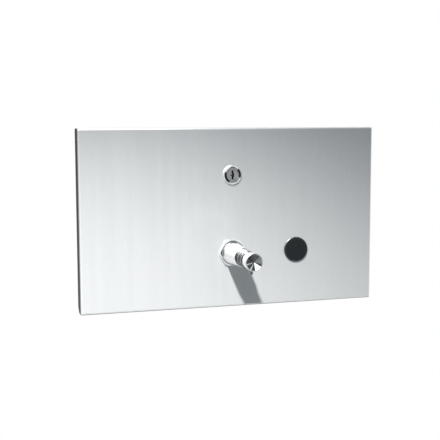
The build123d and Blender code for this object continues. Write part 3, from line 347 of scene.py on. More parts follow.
def _dust(nodes: Nodes, place: Socket) -> tuple[Socket, Socket]:
    """Dust that has settled on what faces up."""
    facing_up = nodes.vector("DOT_PRODUCT", nodes.add("ShaderNodeNewGeometry").outputs["Normal"],
                             (0.0, 0.0, 1.0)).outputs["Value"]
    drift = nodes.noise(place, 60.0, 5.0)
    lies = nodes.maths("MULTIPLY", nodes.spread(facing_up, 0.5, 0.95), nodes.spread(drift, 0.35, 0.7))
    return lies, drift


def _fold_shade(nodes: Nodes, place: Socket) -> tuple[Socket, Socket]:
    """Painted shade: darkens where a folded sheet has turned away to the left or downwards."""
    facing = nodes.add("ShaderNodeTexCoord").outputs["Normal"]
    left = nodes.spread(nodes.vector("DOT_PRODUCT", facing, (-1.0, 0.0, 0.0)).outputs["Value"], 0.35, 0.98)
    under = nodes.spread(nodes.vector("DOT_PRODUCT", facing, (0.0, 0.0, -1.0)).outputs["Value"], 0.45, 0.85)
    return nodes.maths("MAXIMUM", left, under), nodes.noise(place, 300.0)


# ---------------------------------------------------------------- places
def middle(node: str) -> Vector:
    """The middle of a node's box at rest, in metres."""
    low, high = (Vector(corner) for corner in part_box(node))
    return (low + high) / 2


def on_wall(node: str) -> Vector:
    """The point of the wall's surface that a node's middle stands in front of."""
    place = middle(node)
    return Vector((place.x, 0.0, place.z))


# ---------------------------------------------------------------- finishes
DUST_TONE: Colour = (0.42, 0.40, 0.37)
# Colour of the painted shade on faces turned left or down.
PAINTED_SHADE_TONE: Colour = (0.02, 0.022, 0.024)
LIGHT_REACH = 0.004                         # how far light spreads inside the plastics, in metres


class Turn(Enum):
    """Which way an effect's local Z runs on the piece."""

    UPRIGHT = (0.0, 0.0, 0.0)
    SIDEWAYS = (0.0, math.pi / 2, 0.0)
    INWARDS = (math.pi / 2, 0.0, 0.0)


@dataclass(frozen=True)
class Finish:
    """One surface finish: two tones mixed by an effect, with varied gloss, a fine relief, dust and painted
    shade on faces turned left or down.

    rough holds the roughness of the first tone and of the other; plating, where given, is how metallic the
    first tone is while metallic is the other's; contrast is the range of the mask that parts the tones;
    centre is the middle of an effect that goes round the local Y axis.
    """

    name: str
    tone: Colour
    other: Colour
    metallic: float = 1.0
    plating: float | None = None
    rough: tuple[float, float] = (0.25, 0.4)
    effect: Effect = Effect.SMUDGE
    turn: Turn = Turn.UPRIGHT
    scale: float = 1.0
    contrast: tuple[float, float] = (0.35, 0.65)
    relief: float = 0.02
    relief_depth: float = 0.00003
    smudged: float = 0.06
    coat: float = 0.0
    subsurface: float = 0.0
    specular: float = 0.5
    dusty: float = 0.0
    # How strongly painted shade darkens faces turned left or down.
    folded: float = 0.0
    centre: Triple = (0.0, 0.0, 0.0)

    def material(self) -> bpy.types.Material:
        """Build the finish as a material.

        Returns:
            The material, made at the first call.
        """
        known = bpy.data.materials.get(self.name)
        if known:
            return known
        made = bpy.data.materials.new(self.name)
        made.use_nodes = True
        nodes = Nodes(made.node_tree)
        surface = nodes.add("ShaderNodeBsdfPrincipled")
        nodes.wire(surface.outputs[0], nodes.add("ShaderNodeOutputMaterial").inputs[0])
        mapping = nodes.add("ShaderNodeMapping", vector_type="TEXTURE")
        nodes.wire(nodes.add("ShaderNodeTexCoord").outputs["Object"], mapping.inputs["Vector"])
        mapping.inputs["Location"].default_value = self.centre
        mapping.inputs["Rotation"].default_value = self.turn.value
        main = self._place(nodes, self.effect, mapping.outputs[0], self.scale)
        hands = self._place(nodes, Effect.SMUDGE, mapping.outputs[0], 1.0)
        tone = nodes.spread(main.outputs["Mask"], *self.contrast)
        colour = nodes.mix(tone, self.other, self.tone)
        gloss = nodes.spread(main.outputs["Mask"], *self.contrast, self.rough[1], self.rough[0])
        marks = nodes.maths("MULTIPLY", hands.outputs["Mask"], self.smudged)
        rough = nodes.maths("ADD", gloss, marks)
        if self.dusty:
            dust = self._place(nodes, Effect.DUST, mapping.outputs[0], 1.0)
            lies = nodes.maths("MULTIPLY", dust.outputs["Mask"], self.dusty)
            colour = nodes.mix(lies, colour, DUST_TONE)
            rough = nodes.maths("ADD", rough, nodes.maths("MULTIPLY", lies, 0.5), clamp=True)
        # Painted shade: faces turned left or down are darkened.
        if self.folded:
            fold_shade_mask = self._place(nodes, Effect.FOLD, mapping.outputs[0], 1.0)
            colour = nodes.mix(nodes.maths("MULTIPLY", fold_shade_mask.outputs["Mask"], self.folded), colour, PAINTED_SHADE_TONE)
        nodes.wire(colour, surface.inputs["Base Color"])
        nodes.wire(rough, surface.inputs["Roughness"])
        bump = nodes.add("ShaderNodeBump")
        nodes.wire(main.outputs["Height"], bump.inputs["Height"])
        bump.inputs["Strength"].default_value = self.relief
        bump.inputs["Distance"].default_value = self.relief_depth
        nodes.wire(bump.outputs[0], surface.inputs["Normal"])
        if self.plating is None:
            surface.inputs["Metallic"].default_value = self.metallic
        else:
            nodes.wire(nodes.spread(tone, 0.0, 1.0, self.metallic, self.plating), surface.inputs["Metallic"])
        surface.inputs["Specular IOR Level"].default_value = self.specular
        surface.inputs["Coat Weight"].default_value = self.coat
        surface.inputs["Subsurface Weight"].default_value = self.subsurface
        surface.inputs["Subsurface Scale"].default_value = LIGHT_REACH
        return made

    @staticmethod
    def _place(nodes: Nodes, effect: Effect, vector: Socket, scale: float) -> bpy.types.Node:
        """Put an effect's group into a material and feed it."""
        placed = nodes.add("ShaderNodeGroup", node_tree=effect_group(effect))
        nodes.wire(vector, placed.inputs["Vector"])
        placed.inputs["Scale"].default_value = scale
        return placed

    def dress(self, *names: str) -> None:
        """Give the finish to CAD nodes.

        Args:
            names: the nodes.
        """
        for name in names:
            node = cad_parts[name]
            node.data.materials.clear()
            node.data.materials.append(self.material())
            LOG.info("%s: %s", name, self.name)

    def coat_piece(self, piece: bpy.types.Object) -> None:
        """Give the finish to a modelled piece."""
        piece.data.materials.clear()
        piece.data.materials.append(self.material())


VALVE_AXIS = tuple(on_wall("valve_body"))
LOCK_AXIS = tuple(on_wall("lock_housing"))
# The door's left and lower returns get painted shade.
DOOR_STEEL = Finish("brushed_door_steel", (0.750, 0.765, 0.775), (0.696, 0.711, 0.722), metallic=0.9,
                    rough=(0.385, 0.415), effect=Effect.GRAIN, contrast=(0.25, 0.75), smudged=0.0,
                    relief=0.01, relief_depth=0.00001, folded=0.8)
BOX_STEEL = Finish("mill_box_steel", (0.60, 0.61, 0.62), (0.53, 0.54, 0.56), rough=(0.34, 0.42),
                   effect=Effect.GRAIN, turn=Turn.SIDEWAYS, scale=2.5, contrast=(0.2, 0.8), relief=0.05,
                   dusty=0.15)
HINGE_STEEL = Finish("rolled_hinge_steel", (0.66, 0.67, 0.68), (0.50, 0.51, 0.52), rough=(0.22, 0.36),
                     effect=Effect.GRAIN, turn=Turn.SIDEWAYS, relief=0.04)
CHROME = Finish("polished_valve_chrome", (0.93, 0.94, 0.95), (0.88, 0.89, 0.90), rough=(0.03, 0.08),
                smudged=0.03, relief=0.004)
# Chrome of the neck, whose bright top and dark sides are painted reflections, with pitted patches.
NECK_CHROME = Finish("pitted_neck_chrome_painted_reflection", (0.93, 0.94, 0.95), (0.012, 0.014, 0.015), rough=(0.06, 0.16),
                     effect=Effect.NECK, contrast=(0.1, 0.9), relief=0.12, centre=VALVE_AXIS)
# Chrome of the cap's dished face, with bright and dark reflections painted into its colour.
SUNRAY_PAINTED_CHROME = Finish("cap_chrome_painted_reflection", (0.95, 0.96, 0.97), (0.15, 0.16, 0.165), metallic=1.0,
                       plating=0.75, rough=(0.16, 0.26), effect=Effect.SUNRAY, contrast=(0.0, 1.0),
                       relief=0.05, centre=VALVE_AXIS)
LOCK_CHROME = Finish("polished_lock_chrome", (0.86, 0.87, 0.88), (0.75, 0.76, 0.77), rough=(0.06, 0.14),
                     smudged=0.08)
NOZZLE_CHROME = Finish("satin_nozzle_chrome", (0.46, 0.47, 0.48), (0.26, 0.27, 0.28), rough=(0.18, 0.30))
NICKEL = Finish("cast_lock_nickel", (0.80, 0.81, 0.82), (0.58, 0.59, 0.60), metallic=0.3, rough=(0.25, 0.4),
                effect=Effect.SPECKLE, relief=0.15)
ZINC = Finish("zinc_plate", (0.70, 0.71, 0.70), (0.54, 0.56, 0.57), rough=(0.28, 0.45), effect=Effect.SPECKLE,
              scale=0.15, relief=0.05, dusty=0.2)
# Chrome of the bezel's slope, with dark reflections painted into its colour.
BEZEL_CHROME = Finish("bezel_slope_chrome_painted_reflection", (0.90, 0.91, 0.92), (0.06, 0.065, 0.07), rough=(0.08, 0.16),
                      effect=Effect.BEZEL, contrast=(0.1, 0.9), relief=0.01, centre=LOCK_AXIS)
# Near-black painted shade for the faces inside the neck's notch and the lock's keyway.
RECESS_SHADE = Finish("painted_recess_shade", (0.012, 0.013, 0.014), (0.006, 0.006, 0.007), metallic=0.0, rough=(0.5, 0.7),
                effect=Effect.SPECKLE, specular=0.1)
BRASS = Finish("machined_brass", (0.78, 0.60, 0.30), (0.62, 0.45, 0.20), rough=(0.2, 0.38),
               effect=Effect.GRAIN, turn=Turn.INWARDS, relief=0.06)
SMOKED = Finish("smoked_window", (0.0250, 0.0295, 0.0320), (0.0290, 0.0340, 0.0365), metallic=0.0,
                rough=(0.05, 0.12), coat=0.3, relief=0.003)
TANK_PLASTIC = Finish("translucent_tank", (0.86, 0.87, 0.86), (0.80, 0.81, 0.79), metallic=0.0,
                      rough=(0.35, 0.5), effect=Effect.SPECKLE, relief=0.06, subsurface=0.3, dusty=0.15)
PUMP_PLASTIC = Finish("white_acetal", (0.86, 0.86, 0.84), (0.80, 0.80, 0.77), metallic=0.0,
                      rough=(0.22, 0.36), effect=Effect.SPECKLE, relief=0.03, subsurface=0.1, dusty=0.15)
RUBBER = Finish("black_rubber", (0.045, 0.045, 0.048), (0.03, 0.03, 0.032), metallic=0.0, rough=(0.55, 0.75),
                effect=Effect.SPECKLE, relief=0.2)
SILICONE = Finish("red_silicone", (0.40, 0.13, 0.09), (0.32, 0.10, 0.07), metallic=0.0, rough=(0.4, 0.6),
                  effect=Effect.SPECKLE, relief=0.1)
SPRING_STEEL = Finish("drawn_spring_wire", (0.60, 0.61, 0.62), (0.45, 0.46, 0.47), rough=(0.2, 0.35),
                      effect=Effect.SPECKLE)
FLOOR_PAINT = Finish("floor_paint", (0.9, 0.9, 0.89), (0.87, 0.87, 0.86), metallic=0.0, rough=(0.6, 0.7),
                     scale=0.1)


# ---------------------------------------------------------------- modelling
class Axis(Enum):
    """The line that a turned piece is turned about."""

    OUT = 1
    UP = 2


class Bench:
    """Models pieces by hand moves: a ring is added, then extruded, scaled, filled and bevelled."""

    @staticmethod
    def clear() -> None:
        """Deselect everything in object mode."""
        if bpy.context.mode != "OBJECT":
            bpy.ops.object.mode_set(mode="OBJECT")
        bpy.ops.object.select_all(action="DESELECT")

    @classmethod
    def turned(cls, name: str, centre: Vector, profile: Profile | list[tuple[float, float]],
               axis: Axis = Axis.OUT, sides: int = 72) -> bpy.types.Object:
        """Turn a profile about an axis, one extruded and scaled ring at a time.

        Args:
            name: the piece's name.
            centre: a point on the axis, in metres.
            profile: places along the axis and radii, in millimetres, in order round the section.
            axis: which way the axis runs.
            sides: vertices of the ring.

        Returns:
            The piece, closed, with its faces outwards.
        """
        cls.clear()
        along = Vector((0, -1, 0)) if axis is Axis.OUT else Vector((0, 0, 1))
        turn = (math.pi / 2, 0, 0) if axis is Axis.OUT else (0, 0, 0)
        place, radius = profile[0]
        start = centre + along * place * MM
        bpy.ops.mesh.primitive_circle_add(vertices=sides, radius=radius * MM, location=start, rotation=turn)
        piece = bpy.context.active_object
        piece.name = name
        bpy.ops.object.mode_set(mode="EDIT")
        bpy.ops.mesh.select_mode(type="EDGE")
        bpy.ops.mesh.select_all(action="SELECT")
        for next_place, next_radius in profile[1:]:
            move = along * (next_place - place) * MM
            bpy.ops.mesh.extrude_region_move(TRANSFORM_OT_translate={"value": move})
            grow = next_radius / radius
            size = (grow, 1.0, grow) if axis is Axis.OUT else (grow, grow, 1.0)
            bpy.ops.transform.resize(value=size, center_override=centre + along * next_place * MM)
            place, radius = next_place, next_radius
        cls.close()
        return piece

    @staticmethod
    def close() -> None:
        """Merge doubles, fill the open ends, turn the faces outwards and leave edit mode."""
        bpy.ops.mesh.select_all(action="SELECT")
        bpy.ops.mesh.remove_doubles(threshold=0.000004)
        bpy.ops.mesh.fill_holes(sides=0)
        bpy.ops.mesh.select_all(action="SELECT")
        bpy.ops.mesh.normals_make_consistent(inside=False)
        bpy.ops.object.mode_set(mode="OBJECT")

    @classmethod
    def hexagon(cls, name: str, centre: Vector, corner: float, length: float) -> bpy.types.Object:
        """Add a six-sided prism that stands out along -Y, with flats above and below.

        Args:
            name: the piece's name.
            centre: the middle of its back face.
            corner: distance from the middle to a corner, in millimetres.
            length: in millimetres.

        Returns:
            The prism.
        """
        cls.clear()
        bpy.ops.mesh.primitive_cylinder_add(vertices=6, radius=corner * MM, depth=length * MM,
                                            location=centre - Vector((0, length * MM / 2, 0)),
                                            rotation=(math.pi / 2, math.pi / 6, 0))
        piece = bpy.context.active_object
        piece.name = name
        return piece

    @classmethod
    def block(cls, name: str, low: Vector, high: Vector) -> bpy.types.Object:
        """Add a block between two corners, in metres."""
        cls.clear()
        bpy.ops.mesh.primitive_cube_add(size=1.0, location=(low + high) / 2, scale=high - low)
        piece = bpy.context.active_object
        piece.name = name
        bpy.ops.object.transform_apply(location=False, rotation=False, scale=True)
        return piece

    @classmethod
    def combine(cls, piece: bpy.types.Object, tool: bpy.types.Object, operation: str) -> None:
        """Cut a piece with a tool, or keep what they share, and remove the tool.

        Args:
            piece: the piece.
            tool: the other solid.
            operation: DIFFERENCE or INTERSECT.
        """
        cls.clear()
        bpy.context.view_layer.objects.active = piece
        cut = piece.modifiers.new("cut", "BOOLEAN")
        cut.operation, cut.object, cut.solver = operation, tool, "EXACT"
        bpy.ops.object.modifier_apply(modifier=cut.name)
        bpy.data.objects.remove(tool)

    @classmethod
    def join(cls, piece: bpy.types.Object, *others: bpy.types.Object) -> None:
        """Make several meshes one piece."""
        cls.clear()
        for item in (piece, *others):
            item.select_set(True)
        bpy.context.view_layer.objects.active = piece
        bpy.ops.object.join()

    @classmethod
    def finish(cls, piece: bpy.types.Object, body: str, finish: Finish, *nodes: str, bevel: float = 0.12,
               smooth: float = 32.0) -> None:
        """Round the edges, settle the piece at the origin, dress it and fix it to its body.

        Args:
            piece: the piece.
            body: the body that it rides on.
            finish: its finish.
            nodes: the CAD nodes that it stands for.
            bevel: width of the rounded edges, in millimetres.
            smooth: angle up to which faces are shaded smooth, in degrees.
        """
        cls.clear()
        piece.select_set(True)
        bpy.context.view_layer.objects.active = piece
        bpy.ops.object.transform_apply(location=True, rotation=True, scale=True)
        if bevel:
            rounding = piece.modifiers.new("rounding", "BEVEL")
            rounding.width, rounding.segments = bevel * MM, 2
            rounding.limit_method, rounding.angle_limit = "ANGLE", math.radians(smooth)
            bpy.ops.object.modifier_apply(modifier=rounding.name)
        bpy.ops.object.shade_smooth_by_angle(angle=math.radians(smooth))
        finish.coat_piece(piece)
        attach(piece, body)
        if nodes:
            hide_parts(*nodes)
        LOG.info("%s: %s on %s", piece.name, finish.name, body)

    @staticmethod
    def face_finish(piece: bpy.types.Object, finish: Finish,
                    chosen: Callable[[Vector, Vector], bool]) -> None:
        """Give some faces of a finished piece a finish of their own.

        Args:
            piece: the piece.
            finish: the other finish.
            chosen: says from a face's middle and its normal whether the face takes it.
        """
        piece.data.materials.append(finish.material())
        for face in piece.data.polygons:
            if chosen(face.center, face.normal):
                face.material_index = len(piece.data.materials) - 1


def moved(profile: Profile, depth: float, radius: float) -> list[tuple[float, float]]:
    """A profile set down at a depth and a radius."""
    return [(depth + along, radius + out) for along, out in profile]


def off_axis(place: Vector, centre: Vector) -> float:
    """How far a place is from the line along Y through a centre, in millimetres."""
    return Vector((place.x - centre.x, place.z - centre.z)).length / MM


# ---------------------------------------------------------------- sub-assemblies
# Sizes are in millimetres. Depths are measured out from the wall. A Profile's rows are offsets from a named
# depth and a named radius.
DOOR_DEPTH = round(-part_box("door_panel")[0][1] / MM, 3)
SKIN = 0.05                                 # slack with which faces are chosen
PAST = 0.2                                  # how far a cutter runs past a face, or a joined piece runs in
HAIR = 0.001                                # keeps two faces out of one plane
ROUND = 96                                  # sides of the rings that are seen close


@dataclass
class WallBox:
    """The box in the wall with its strike, its rubber bumpers and its half of the hinge."""

    bumper_r: float = 4.4
    bumper_neck: float = 3.3
    bumper_foot: Profile = ((0.0, 1.1), (1.6, 1.1), (2.4, 0.25))
    bumper_dome: Profile = ((-4.0, 0.0), (-2.6, 0.1), (-1.0, -0.3), (-0.3, -1.1), (0.0, -2.2))

    def build(self) -> None:
        """Model the bumpers and dress the rest."""
        self._bumpers()
        BOX_STEEL.dress("recess_box")
        HINGE_STEEL.dress("box_hinge_leaf", "hinge_pin")
        ZINC.dress("hinge_rivets", "strike_plate", "strike_rivets", "stay_pins")

    def _bumpers(self) -> None:
        """Model two bumpers, each a foot, a neck and a domed head."""
        low, high = (Vector(corner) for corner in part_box("door_bumpers"))
        length = (high.y - low.y) / MM
        section = [*moved(self.bumper_foot, 0.0, self.bumper_neck),
                   *moved(self.bumper_dome, length, self.bumper_neck)]
        pair = []
        for x in (low.x + self.bumper_r * MM, high.x - self.bumper_r * MM):
            centre = Vector((x, high.y, (low.z + high.z) / 2))
            pair.append(Bench.turned("moulded_bumpers", centre, section, sides=40))
        Bench.join(*pair)
        Bench.finish(pair[0], "wall_box", RUBBER, "door_bumpers")


@dataclass
class Door:
    """The folded door with its hinge leaf, studs, stays and the cradle for the tank."""

    def build(self) -> None:
        """Dress the door's metal."""
        DOOR_STEEL.dress("door_panel")
        BOX_STEEL.dress("tank_cradle")
        HINGE_STEEL.dress("door_hinge_leaf")
        ZINC.dress("stay_plate_left", "stay_plate_right", "door_studs", "stud_nuts")


@dataclass
class Tank:
    """The soap tank with its cover, seals, screws and filler lid."""

    def build(self) -> None:
        """Dress the tank's plastics, rubber and pins."""
        TANK_PLASTIC.dress("tank")
        PUMP_PLASTIC.dress("tank_cover", "filler_lid")
        RUBBER.dress("cover_gasket")
        ZINC.dress("cover_screws", "lid_pin")


@dataclass
class Pump:
    """The pump behind the valve, and the nut and seals that clamp it."""

    def build(self) -> None:
        """Dress the pump."""
        PUMP_PLASTIC.dress("pump_cylinder", "cylinder_cap", "inlet_strainer", "piston", "valve_washer")
        SILICONE.dress("inlet_flap")
        RUBBER.dress("piston_seal", "valve_gasket")
        BRASS.dress("valve_nut")
        HINGE_STEEL.dress("plunger_stem")
        SPRING_STEEL.dress("return_spring")


@dataclass
class Spout:
    """The chromed valve: hexagon and barrel on the door, and the neck, head and nozzle that push in.

    barrel_l, neck_back_l, spring_seat_l, head_back_l, head_front_l, nozzle_l and each groove's first value
    are measured out from the door's face. A groove's other values are its half width and its depth.
    """

    hex_corner: float = 14.087
    hex_t: float = 3.4
    hex_round: float = 0.75
    hex_chamfer_l: float = 1.5
    hex_chamfer_w: float = 2.6
    barrel_r: float = 9.5
    barrel_tip_r: float = 9.0
    barrel_l: float = 35.0
    barrel_root: Profile = ((-0.2, 1.1), (0.5, 1.1), (0.75, 0.8), (1.0, 0.0))
    barrel_lip: Profile = ((-0.9, 0.0), (-0.35, -0.15), (0.0, -0.5))
    barrel_bore_r: float = 8.25
    barrel_floor: float = 21.0
    shank_end: float = 2.0
    shank_r: float = 8.0
    socket_floor: float = 9.0
    socket_r: float = 6.5
    stem_hole_r: float = 3.1
    neck_r: float = 8.15
    neck_back_l: float = 17.0
    neck_edge: float = 0.3
    grooves: tuple[Triple, ...] = ((40.2, 0.35, 0.5), (46.4, 0.45, 0.6), (49.2, 0.35, 0.5))
    groove_floor: float = 0.6
    spring_room_r: float = 7.0
    spring_seat_l: float = 44.0
    stem_r: float = 3.0
    notch_half_w: float = 2.1
    notch_l: float = 3.2
    notch_deep: float = 3.4
    head_r: float = 8.1
    head_back_l: float = 54.0
    head_front_l: float = 66.0
    head_back: Profile = ((0.0, -0.4), (0.15, -0.12), (0.4, 0.0))
    head_rim: Profile = ((-0.5, 0.0), (-0.2, -0.15), (0.0, -0.5), (0.0, -0.9), (-0.25, -1.15))
    head_dish: float = 1.1
    head_rim_w: float = 1.0
    head_core_r: float = 1.2
    head_tip_r: float = 0.02
    nozzle_r: float = 1.9
    nozzle_bore_r: float = 1.1
    nozzle_l: float = 56.6
    nozzle_root: float = -4.0
    nozzle_drop: float = 12.4
    nozzle_lip: Profile = ((0.9, 0.0), (0.4, -0.12), (0.12, -0.35), (0.0, -0.6))

    def build(self) -> None:
        """Model the valve's four visible pieces."""
        centre = on_wall("valve_body")
        self._body(centre)
        self._neck(centre)
        self._head(centre)
        self._nozzle(centre)

    def _body(self, centre: Vector) -> None:
        """Model the hexagon with its turned chamfer, and the bored barrel with its shank.

        Args:
            centre: the valve's axis at the wall.
        """
        door, root, tip = DOOR_DEPTH, DOOR_DEPTH + self.hex_t, DOOR_DEPTH + self.barrel_l
        corner = self.hex_corner - self.hex_round
        hexagon = Bench.hexagon("valve_and_hexagon", centre - Vector((0, door * MM, 0)), self.hex_corner,
                                self.hex_t)
        cone = Bench.turned("chamfer_cone", centre, [
            (door - PAST, corner), (root - self.hex_chamfer_l, corner),
            (root + HAIR, self.hex_corner - self.hex_chamfer_w)], sides=ROUND)
        Bench.combine(hexagon, cone, "INTERSECT")
        barrel = Bench.turned("barrel", centre, [
            (self.shank_end, self.socket_r), (self.shank_end, self.shank_r), (door, self.shank_r),
            (door, self.barrel_r), *moved(self.barrel_root, root, self.barrel_r),
            *moved(self.barrel_lip, tip, self.barrel_tip_r), (tip, self.barrel_bore_r),
            (self.barrel_floor, self.barrel_bore_r), (self.barrel_floor, self.stem_hole_r),
            (self.socket_floor, self.stem_hole_r), (self.socket_floor, self.socket_r),
            (self.shank_end, self.socket_r)], sides=ROUND)
        Bench.join(hexagon, barrel)
        Bench.finish(hexagon, "door", CHROME, "valve_body")

    def _neck(self, centre: Vector) -> None:
        """Model the hollow plunger with its thin grooves and the notch behind the head, whose faces take
        painted shade.

        Args:
            centre: the valve's axis at the wall.
        """
        back, front = DOOR_DEPTH + self.neck_back_l, DOOR_DEPTH + self.head_back_l
        seat, r = DOOR_DEPTH + self.spring_seat_l, self.neck_r
        section = [(back, self.spring_room_r), (back, r)]
        for groove_l, half, deep in self.grooves:
            at = DOOR_DEPTH + groove_l
            floor = half * self.groove_floor
            section += [(at - half, r), (at - floor, r - deep), (at + floor, r - deep), (at + half, r)]
        section += [(front - self.neck_edge, r), (front, r - self.neck_edge), (front, self.stem_r),
                    (seat, self.stem_r), (seat, self.spring_room_r), (back, self.spring_room_r)]
        neck = Bench.turned("grooved_neck", centre, section, sides=ROUND)
        notch = Bench.block(
            "notch", centre + Vector((-self.notch_half_w, -(front + PAST), r - self.notch_deep)) * MM,
            centre + Vector((self.notch_half_w, -(front - self.notch_l), r + PAST)) * MM)
        Bench.combine(neck, notch, "DIFFERENCE")
        Bench.finish(neck, "spout", NECK_CHROME, "spout_plunger", bevel=0.08)

        def in_notch(at: Vector, out: Vector) -> bool:
            """Whether a face is inside the notch."""
            behind_head = front - self.notch_l - SKIN < -at.y / MM < front - SKIN / 2
            between_walls = abs(at.x - centre.x) < (self.notch_half_w + SKIN) * MM and at.z > centre.z
            return behind_head and between_walls and off_axis(at, centre) < r - 3 * SKIN

        # Painted shade: the notch's faces take a near-black finish.
        Bench.face_finish(neck, RECESS_SHADE, in_notch)

    def _head(self, centre: Vector) -> None:
        """Model the push head with its rim and its dished face, whose finish of its own has reflections
        painted into its colour.

        Args:
            centre: the valve's axis at the wall.
        """
        back, front, r = DOOR_DEPTH + self.head_back_l, DOOR_DEPTH + self.head_front_l, self.head_r
        head = Bench.turned("push_head", centre, [
            (back, self.head_core_r), *moved(self.head_back, back, r), *moved(self.head_rim, front, r),
            (front - self.head_dish, self.head_tip_r)], sides=ROUND)
        Bench.finish(head, "spout", CHROME, "push_cap", bevel=0.0)
        dish_floor = front - 2 * self.head_dish
        # The dished face takes the chrome with painted reflections.
        Bench.face_finish(head, SUNRAY_PAINTED_CHROME, lambda at, out: out.y < -0.5 and -at.y > dish_floor * MM
                          and off_axis(at, centre) < r - self.head_rim_w)

    def _nozzle(self, centre: Vector) -> None:
        """Model the little outlet under the head, with a rounded lip.

        Args:
            centre: the valve's axis at the wall.
        """
        base = centre - Vector((0.0, (DOOR_DEPTH + self.nozzle_l) * MM, 0.0))
        low, bore_r = -self.nozzle_drop, self.nozzle_bore_r
        nozzle = Bench.turned("outlet_tip", base, [
            (self.nozzle_root, bore_r), (self.nozzle_root, self.nozzle_r),
            *moved(self.nozzle_lip, low, self.nozzle_r), (low, bore_r), (self.nozzle_root, bore_r)],
            Axis.UP, sides=48)
        Bench.finish(nozzle, "spout", NOZZLE_CHROME, "outlet_nozzle", bevel=0.0)


@dataclass
class SightWindow:
    """The smoked window: a moulded lens with a rounded rim, its nut, washer and seal."""

    rim_r: float = 12.2
    proud: float = 2.0
    rim_l: float = 0.7
    back: float = 3.0
    shank_r: float = 9.5
    bore_r: float = 7.0
    core_r: float = 0.5
    lens_in: float = 1.0
    crown: Profile = ((-0.75, -0.12), (-0.3, -0.45), (-0.06, -0.85), (0.0, -1.25), (-0.05, -1.7),
                      (-0.22, -2.0), (-0.24, -2.4), (-0.20, -4.5), (-0.15, -8.0), (-0.13, -11.7))

    def build(self) -> None:
        """Model the lens and dress what clamps it."""
        door, top, inside = DOOR_DEPTH, DOOR_DEPTH + self.proud, DOOR_DEPTH - self.lens_in
        lens = Bench.turned("window_lens", on_wall("sight_window"), [
            (self.back, self.bore_r), (self.back, self.shank_r), (door, self.shank_r), (door, self.rim_r),
            (door + self.rim_l, self.rim_r), *moved(self.crown, top, self.rim_r), (inside, self.core_r),
            (inside, self.bore_r), (self.back, self.bore_r)], sides=ROUND)
        Bench.finish(lens, "door", SMOKED, "sight_window", bevel=0.0)
        BRASS.dress("window_nut")
        PUMP_PLASTIC.dress("window_washer")
        RUBBER.dress("window_gasket")


@dataclass
class KeyLock:
    """The cam lock: a chromed housing, a turning plug with a wavy keyway, and its cam.

    Each row of keyway is a slot: where its middle is across and up, its width and its height. keyway_reach
    is how far the slots go from the axis, across and up.
    """

    proud: float = 3.0
    head_r: float = 9.4
    back: float = -6.0
    shell_r: float = 8.0
    flange_edge: Profile = ((0.0, 0.0), (0.8, 0.0), (1.2, -0.1), (2.3, -1.1), (2.7, -1.6))
    flange_lip: Profile = ((-0.05, -2.1), (0.0, -2.5), (-0.12, -2.9))
    slope_start: float = 1.3
    slope_inset: float = 1.2
    plug_r: float = 6.0
    plug_gap: float = 0.05
    plug_sunk: float = 0.7
    plug_tail: float = -6.6
    plug_edge: Profile = ((-0.4, 0.0), (-0.1, -0.15), (0.0, -0.5))
    plug_ring: Profile = ((0.0, -1.05), (-0.12, -1.15), (-0.3, -1.2), (-0.3, -1.4), (-0.12, -1.45),
                          (0.0, -1.55))
    plug_core_r: float = 0.3
    keyway_l: float = 8.0
    keyway_reach: tuple[float, float] = (2.45, 4.3)
    keyway: tuple[tuple[float, float, float, float], ...] = (
        (-0.3, 2.6, 1.8, 3.4), (0.45, 0.0, 1.8, 3.4), (-0.2, -2.6, 1.8, 3.2), (-1.2, -0.3, 2.4, 1.1))
    square_half: float = 3.0
    square_end: float = 10.0

    def build(self) -> None:
        """Model the housing and the plug, and dress the cam."""
        centre = on_wall("lock_housing")
        self._housing(centre)
        self._plug(centre)
        ZINC.dress("lock_cam", "cam_screw")
        BRASS.dress("lock_nut")

    def _housing(self, centre: Vector) -> None:
        """Model the bezel with its stepped, rounded flange.

        Args:
            centre: the lock's axis at the wall.
        """
        door, face, r = DOOR_DEPTH, DOOR_DEPTH + self.proud, self.head_r
        bore_r = self.plug_r + self.plug_gap
        housing = Bench.turned("lock_bezel", centre, [
            (self.back, bore_r), (self.back, self.shell_r), (door, self.shell_r),
            *moved(self.flange_edge, door, r), *moved(self.flange_lip, face, r),
            (face - self.plug_sunk, bore_r), (self.back, bore_r)], sides=ROUND)
        Bench.finish(housing, "door", LOCK_CHROME, "lock_housing", bevel=0.0)
        # The slope takes the chrome with painted dark reflections.
        Bench.face_finish(housing, BEZEL_CHROME, lambda at, out: -at.y > (door + self.slope_start) * MM
                          and off_axis(at, centre) < r - self.slope_inset)

    def _plug(self, centre: Vector) -> None:
        """Model the plug with a turned ring, a keyway of offset slots and a square tail; the keyway's faces
        take painted shade.

        Args:
            centre: the lock's axis at the wall.
        """
        face, tail, r = DOOR_DEPTH + self.proud - self.plug_sunk, self.plug_tail, self.plug_r
        plug = Bench.turned("lock_key_plug", centre, [
            (tail, self.plug_core_r), (tail, r), *moved(self.plug_edge, face, r),
            *moved(self.plug_ring, face, r), (face, self.plug_core_r)], sides=72)
        for dx, dz, width, height in self.keyway:
            low = centre + Vector((dx - width / 2, -(face + PAST), dz - height / 2)) * MM
            high = centre + Vector((dx + width / 2, -(face - self.keyway_l), dz + height / 2)) * MM
            Bench.combine(plug, Bench.block("slot", low, high), "DIFFERENCE")
        half = self.square_half
        square = Bench.block("square", centre + Vector((-half, -tail - PAST, -half)) * MM,
                             centre + Vector((half, self.square_end, half)) * MM)
        Bench.join(plug, square)
        Bench.finish(plug, "lock_barrel", NICKEL, "lock_plug", bevel=0.05)

        def in_keyway(at: Vector, out: Vector) -> bool:
            """Whether a face is inside the keyway."""
            across, up = self.keyway_reach
            sunk = face - self.keyway_l - PAST < -at.y / MM < face - SKIN
            return sunk and abs(at.x - centre.x) < across * MM and abs(at.z - centre.z) < up * MM

        # Painted shade: the keyway's faces take a near-black finish.
        Bench.face_finish(plug, RECESS_SHADE, in_keyway)


